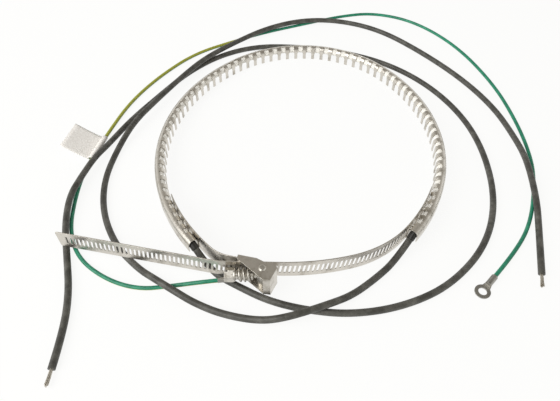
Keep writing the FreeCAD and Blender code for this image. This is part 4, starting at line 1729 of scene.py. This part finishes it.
@dataclass
class Studio:
    """The pale floor, the soft light and the camera that looks from the photograph's place."""

    camera_place: tuple[float, float, float] = (8.0, -247.5, 241.0)
    camera_pitch: float = 50.0
    focal_px: float = 499.3
    frame_width_px: float = 560.0
    sensor_mm: float = 36.0
    floor_half_mm: float = 3000.0
    floor_below_mm: float = 0.05
    floor_colour: str = "#fafaf9"
    floor_glow: str = "#fffffe"
    floor_glow_share: float = 0.9
    backdrop: str = "#fdfdfb"
    room_by_height: Stops = ((0.0, "#ffffff"), (0.34, "#f6f6f4"), (0.62, "#aeaaa3"), (1.0, "#8f8b84"))
    shade_near_camera: Stops = ((0.78, "#ffffff"), (0.96, "#a09d98"))
    lamp_place: tuple[float, float, float] = (-0.8, -0.5, 0.9)
    lamp_size: float = 1.3
    lamp_power: float = 15.0

    def build_camera(self) -> None:
        """Builds the camera and makes it the scene's."""
        data = bpy.data.cameras.new("camera")
        data.sensor_fit = "HORIZONTAL"
        data.sensor_width = self.sensor_mm
        data.lens = self.focal_px / self.frame_width_px * self.sensor_mm
        data.clip_start = 0.01
        camera = placed("camera", data)
        camera.location = Vector(self.camera_place) * MM
        camera.rotation_euler = Euler((math.radians(90.0 - self.camera_pitch), 0.0, 0.0))
        bpy.context.scene.camera = camera

    def build_floor(self) -> None:
        """Builds the pale floor."""
        mesh = bmesh.new()
        bmesh.ops.create_grid(mesh, x_segments=1, y_segments=1, size=self.floor_half_mm * MM)
        data = bpy.data.meshes.new("floor")
        mesh.to_mesh(data)
        mesh.free()
        floor = placed("floor", data)
        floor.location.z = -self.floor_below_mm * MM
        material, tree, shader = new_material("white_table")
        set_inputs(tree, shader, {
            "Base Color": srgb(self.floor_colour), "Roughness": 0.9, "Specular IOR Level": 0.0,
        })
        path = add_node(tree, "ShaderNodeLightPath").outputs
        seen = path["Is Camera Ray"]
        for ray in ("Is Glossy Ray", "Is Transmission Ray"):
            seen = add_node(tree, "ShaderNodeMath", {0: seen, 1: path[ray]}, operation="MAXIMUM")
        share = add_node(tree, "ShaderNodeMath", {0: seen, 1: self.floor_glow_share}, operation="MULTIPLY")
        glow = add_node(tree, "ShaderNodeEmission", {"Color": srgb(self.floor_glow), "Strength": 1.0})
        mixed = add_node(tree, "ShaderNodeMixShader", {0: share, 1: shader, 2: glow})
        set_inputs(tree, tree.nodes["Material Output"], {"Surface": mixed})
        data.materials.append(material)

    def build_world(self) -> None:
        """Builds the surroundings: white walls, a grey ceiling, and the dark of the room round the camera."""
        world = bpy.data.worlds.new("studio")
        bpy.context.scene.world = world
        world.use_nodes = True
        tree = world.node_tree
        tree.nodes.clear()
        place = add_node(tree, "ShaderNodeTexCoord").outputs["Generated"]
        height = add_node(tree, "ShaderNodeSeparateXYZ", {0: place}).outputs["Z"]
        ceiling = add_node(tree, "ShaderNodeValToRGB", {"Fac": height}, stops=self.room_by_height)
        towards = tuple(Vector(self.camera_place).normalized())
        near = add_node(tree, "ShaderNodeVectorMath", {0: place, 1: towards}, operation="DOT_PRODUCT")
        near = near.outputs["Value"]
        shade = add_node(tree, "ShaderNodeValToRGB", {"Fac": near}, stops=self.shade_near_camera)
        room = add_node(tree, "ShaderNodeMixRGB", {
            "Fac": 1.0, "Color1": ceiling, "Color2": shade,
        }, blend_type="MULTIPLY")
        path = add_node(tree, "ShaderNodeLightPath")
        colour = add_node(tree, "ShaderNodeMixRGB", {
            "Fac": path.outputs["Is Camera Ray"], "Color1": room, "Color2": srgb(self.backdrop),
        })
        background = add_node(tree, "ShaderNodeBackground", {"Color": colour, "Strength": 1.0})
        add_node(tree, "ShaderNodeOutputWorld", {"Surface": background})

    def build_lamp(self) -> None:
        """Builds one soft lamp that looks at the middle of the table."""
        data = bpy.data.lights.new("key", "AREA")
        data.shape = "DISK"
        data.size = self.lamp_size
        data.energy = self.lamp_power
        lamp = placed("key", data)
        lamp.location = self.lamp_place
        lamp.rotation_euler = (-Vector(self.lamp_place)).to_track_quat("-Z", "Y").to_euler()

    def build(self) -> None:
        """Builds the whole studio."""
        bpy.context.scene.view_settings.view_transform = "Standard"
        self.build_camera()
        self.build_floor()
        self.build_world()
        self.build_lamp()


def main() -> None:
    """Loads the frame and builds the whole scene around it."""
    logging.basicConfig(level=logging.INFO, format="%(name)s %(message)s")
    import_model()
    Studio().build()
    finishes = Finishes()
    line = ring_line()
    Cords().build(line, finishes)
    HeaterRing().build(line, finishes)
    ClampBand().build(line, finishes)
    WormClamp().build(finishes)
    bpy.context.view_layer.update()


if __name__ == "__main__":
    main()
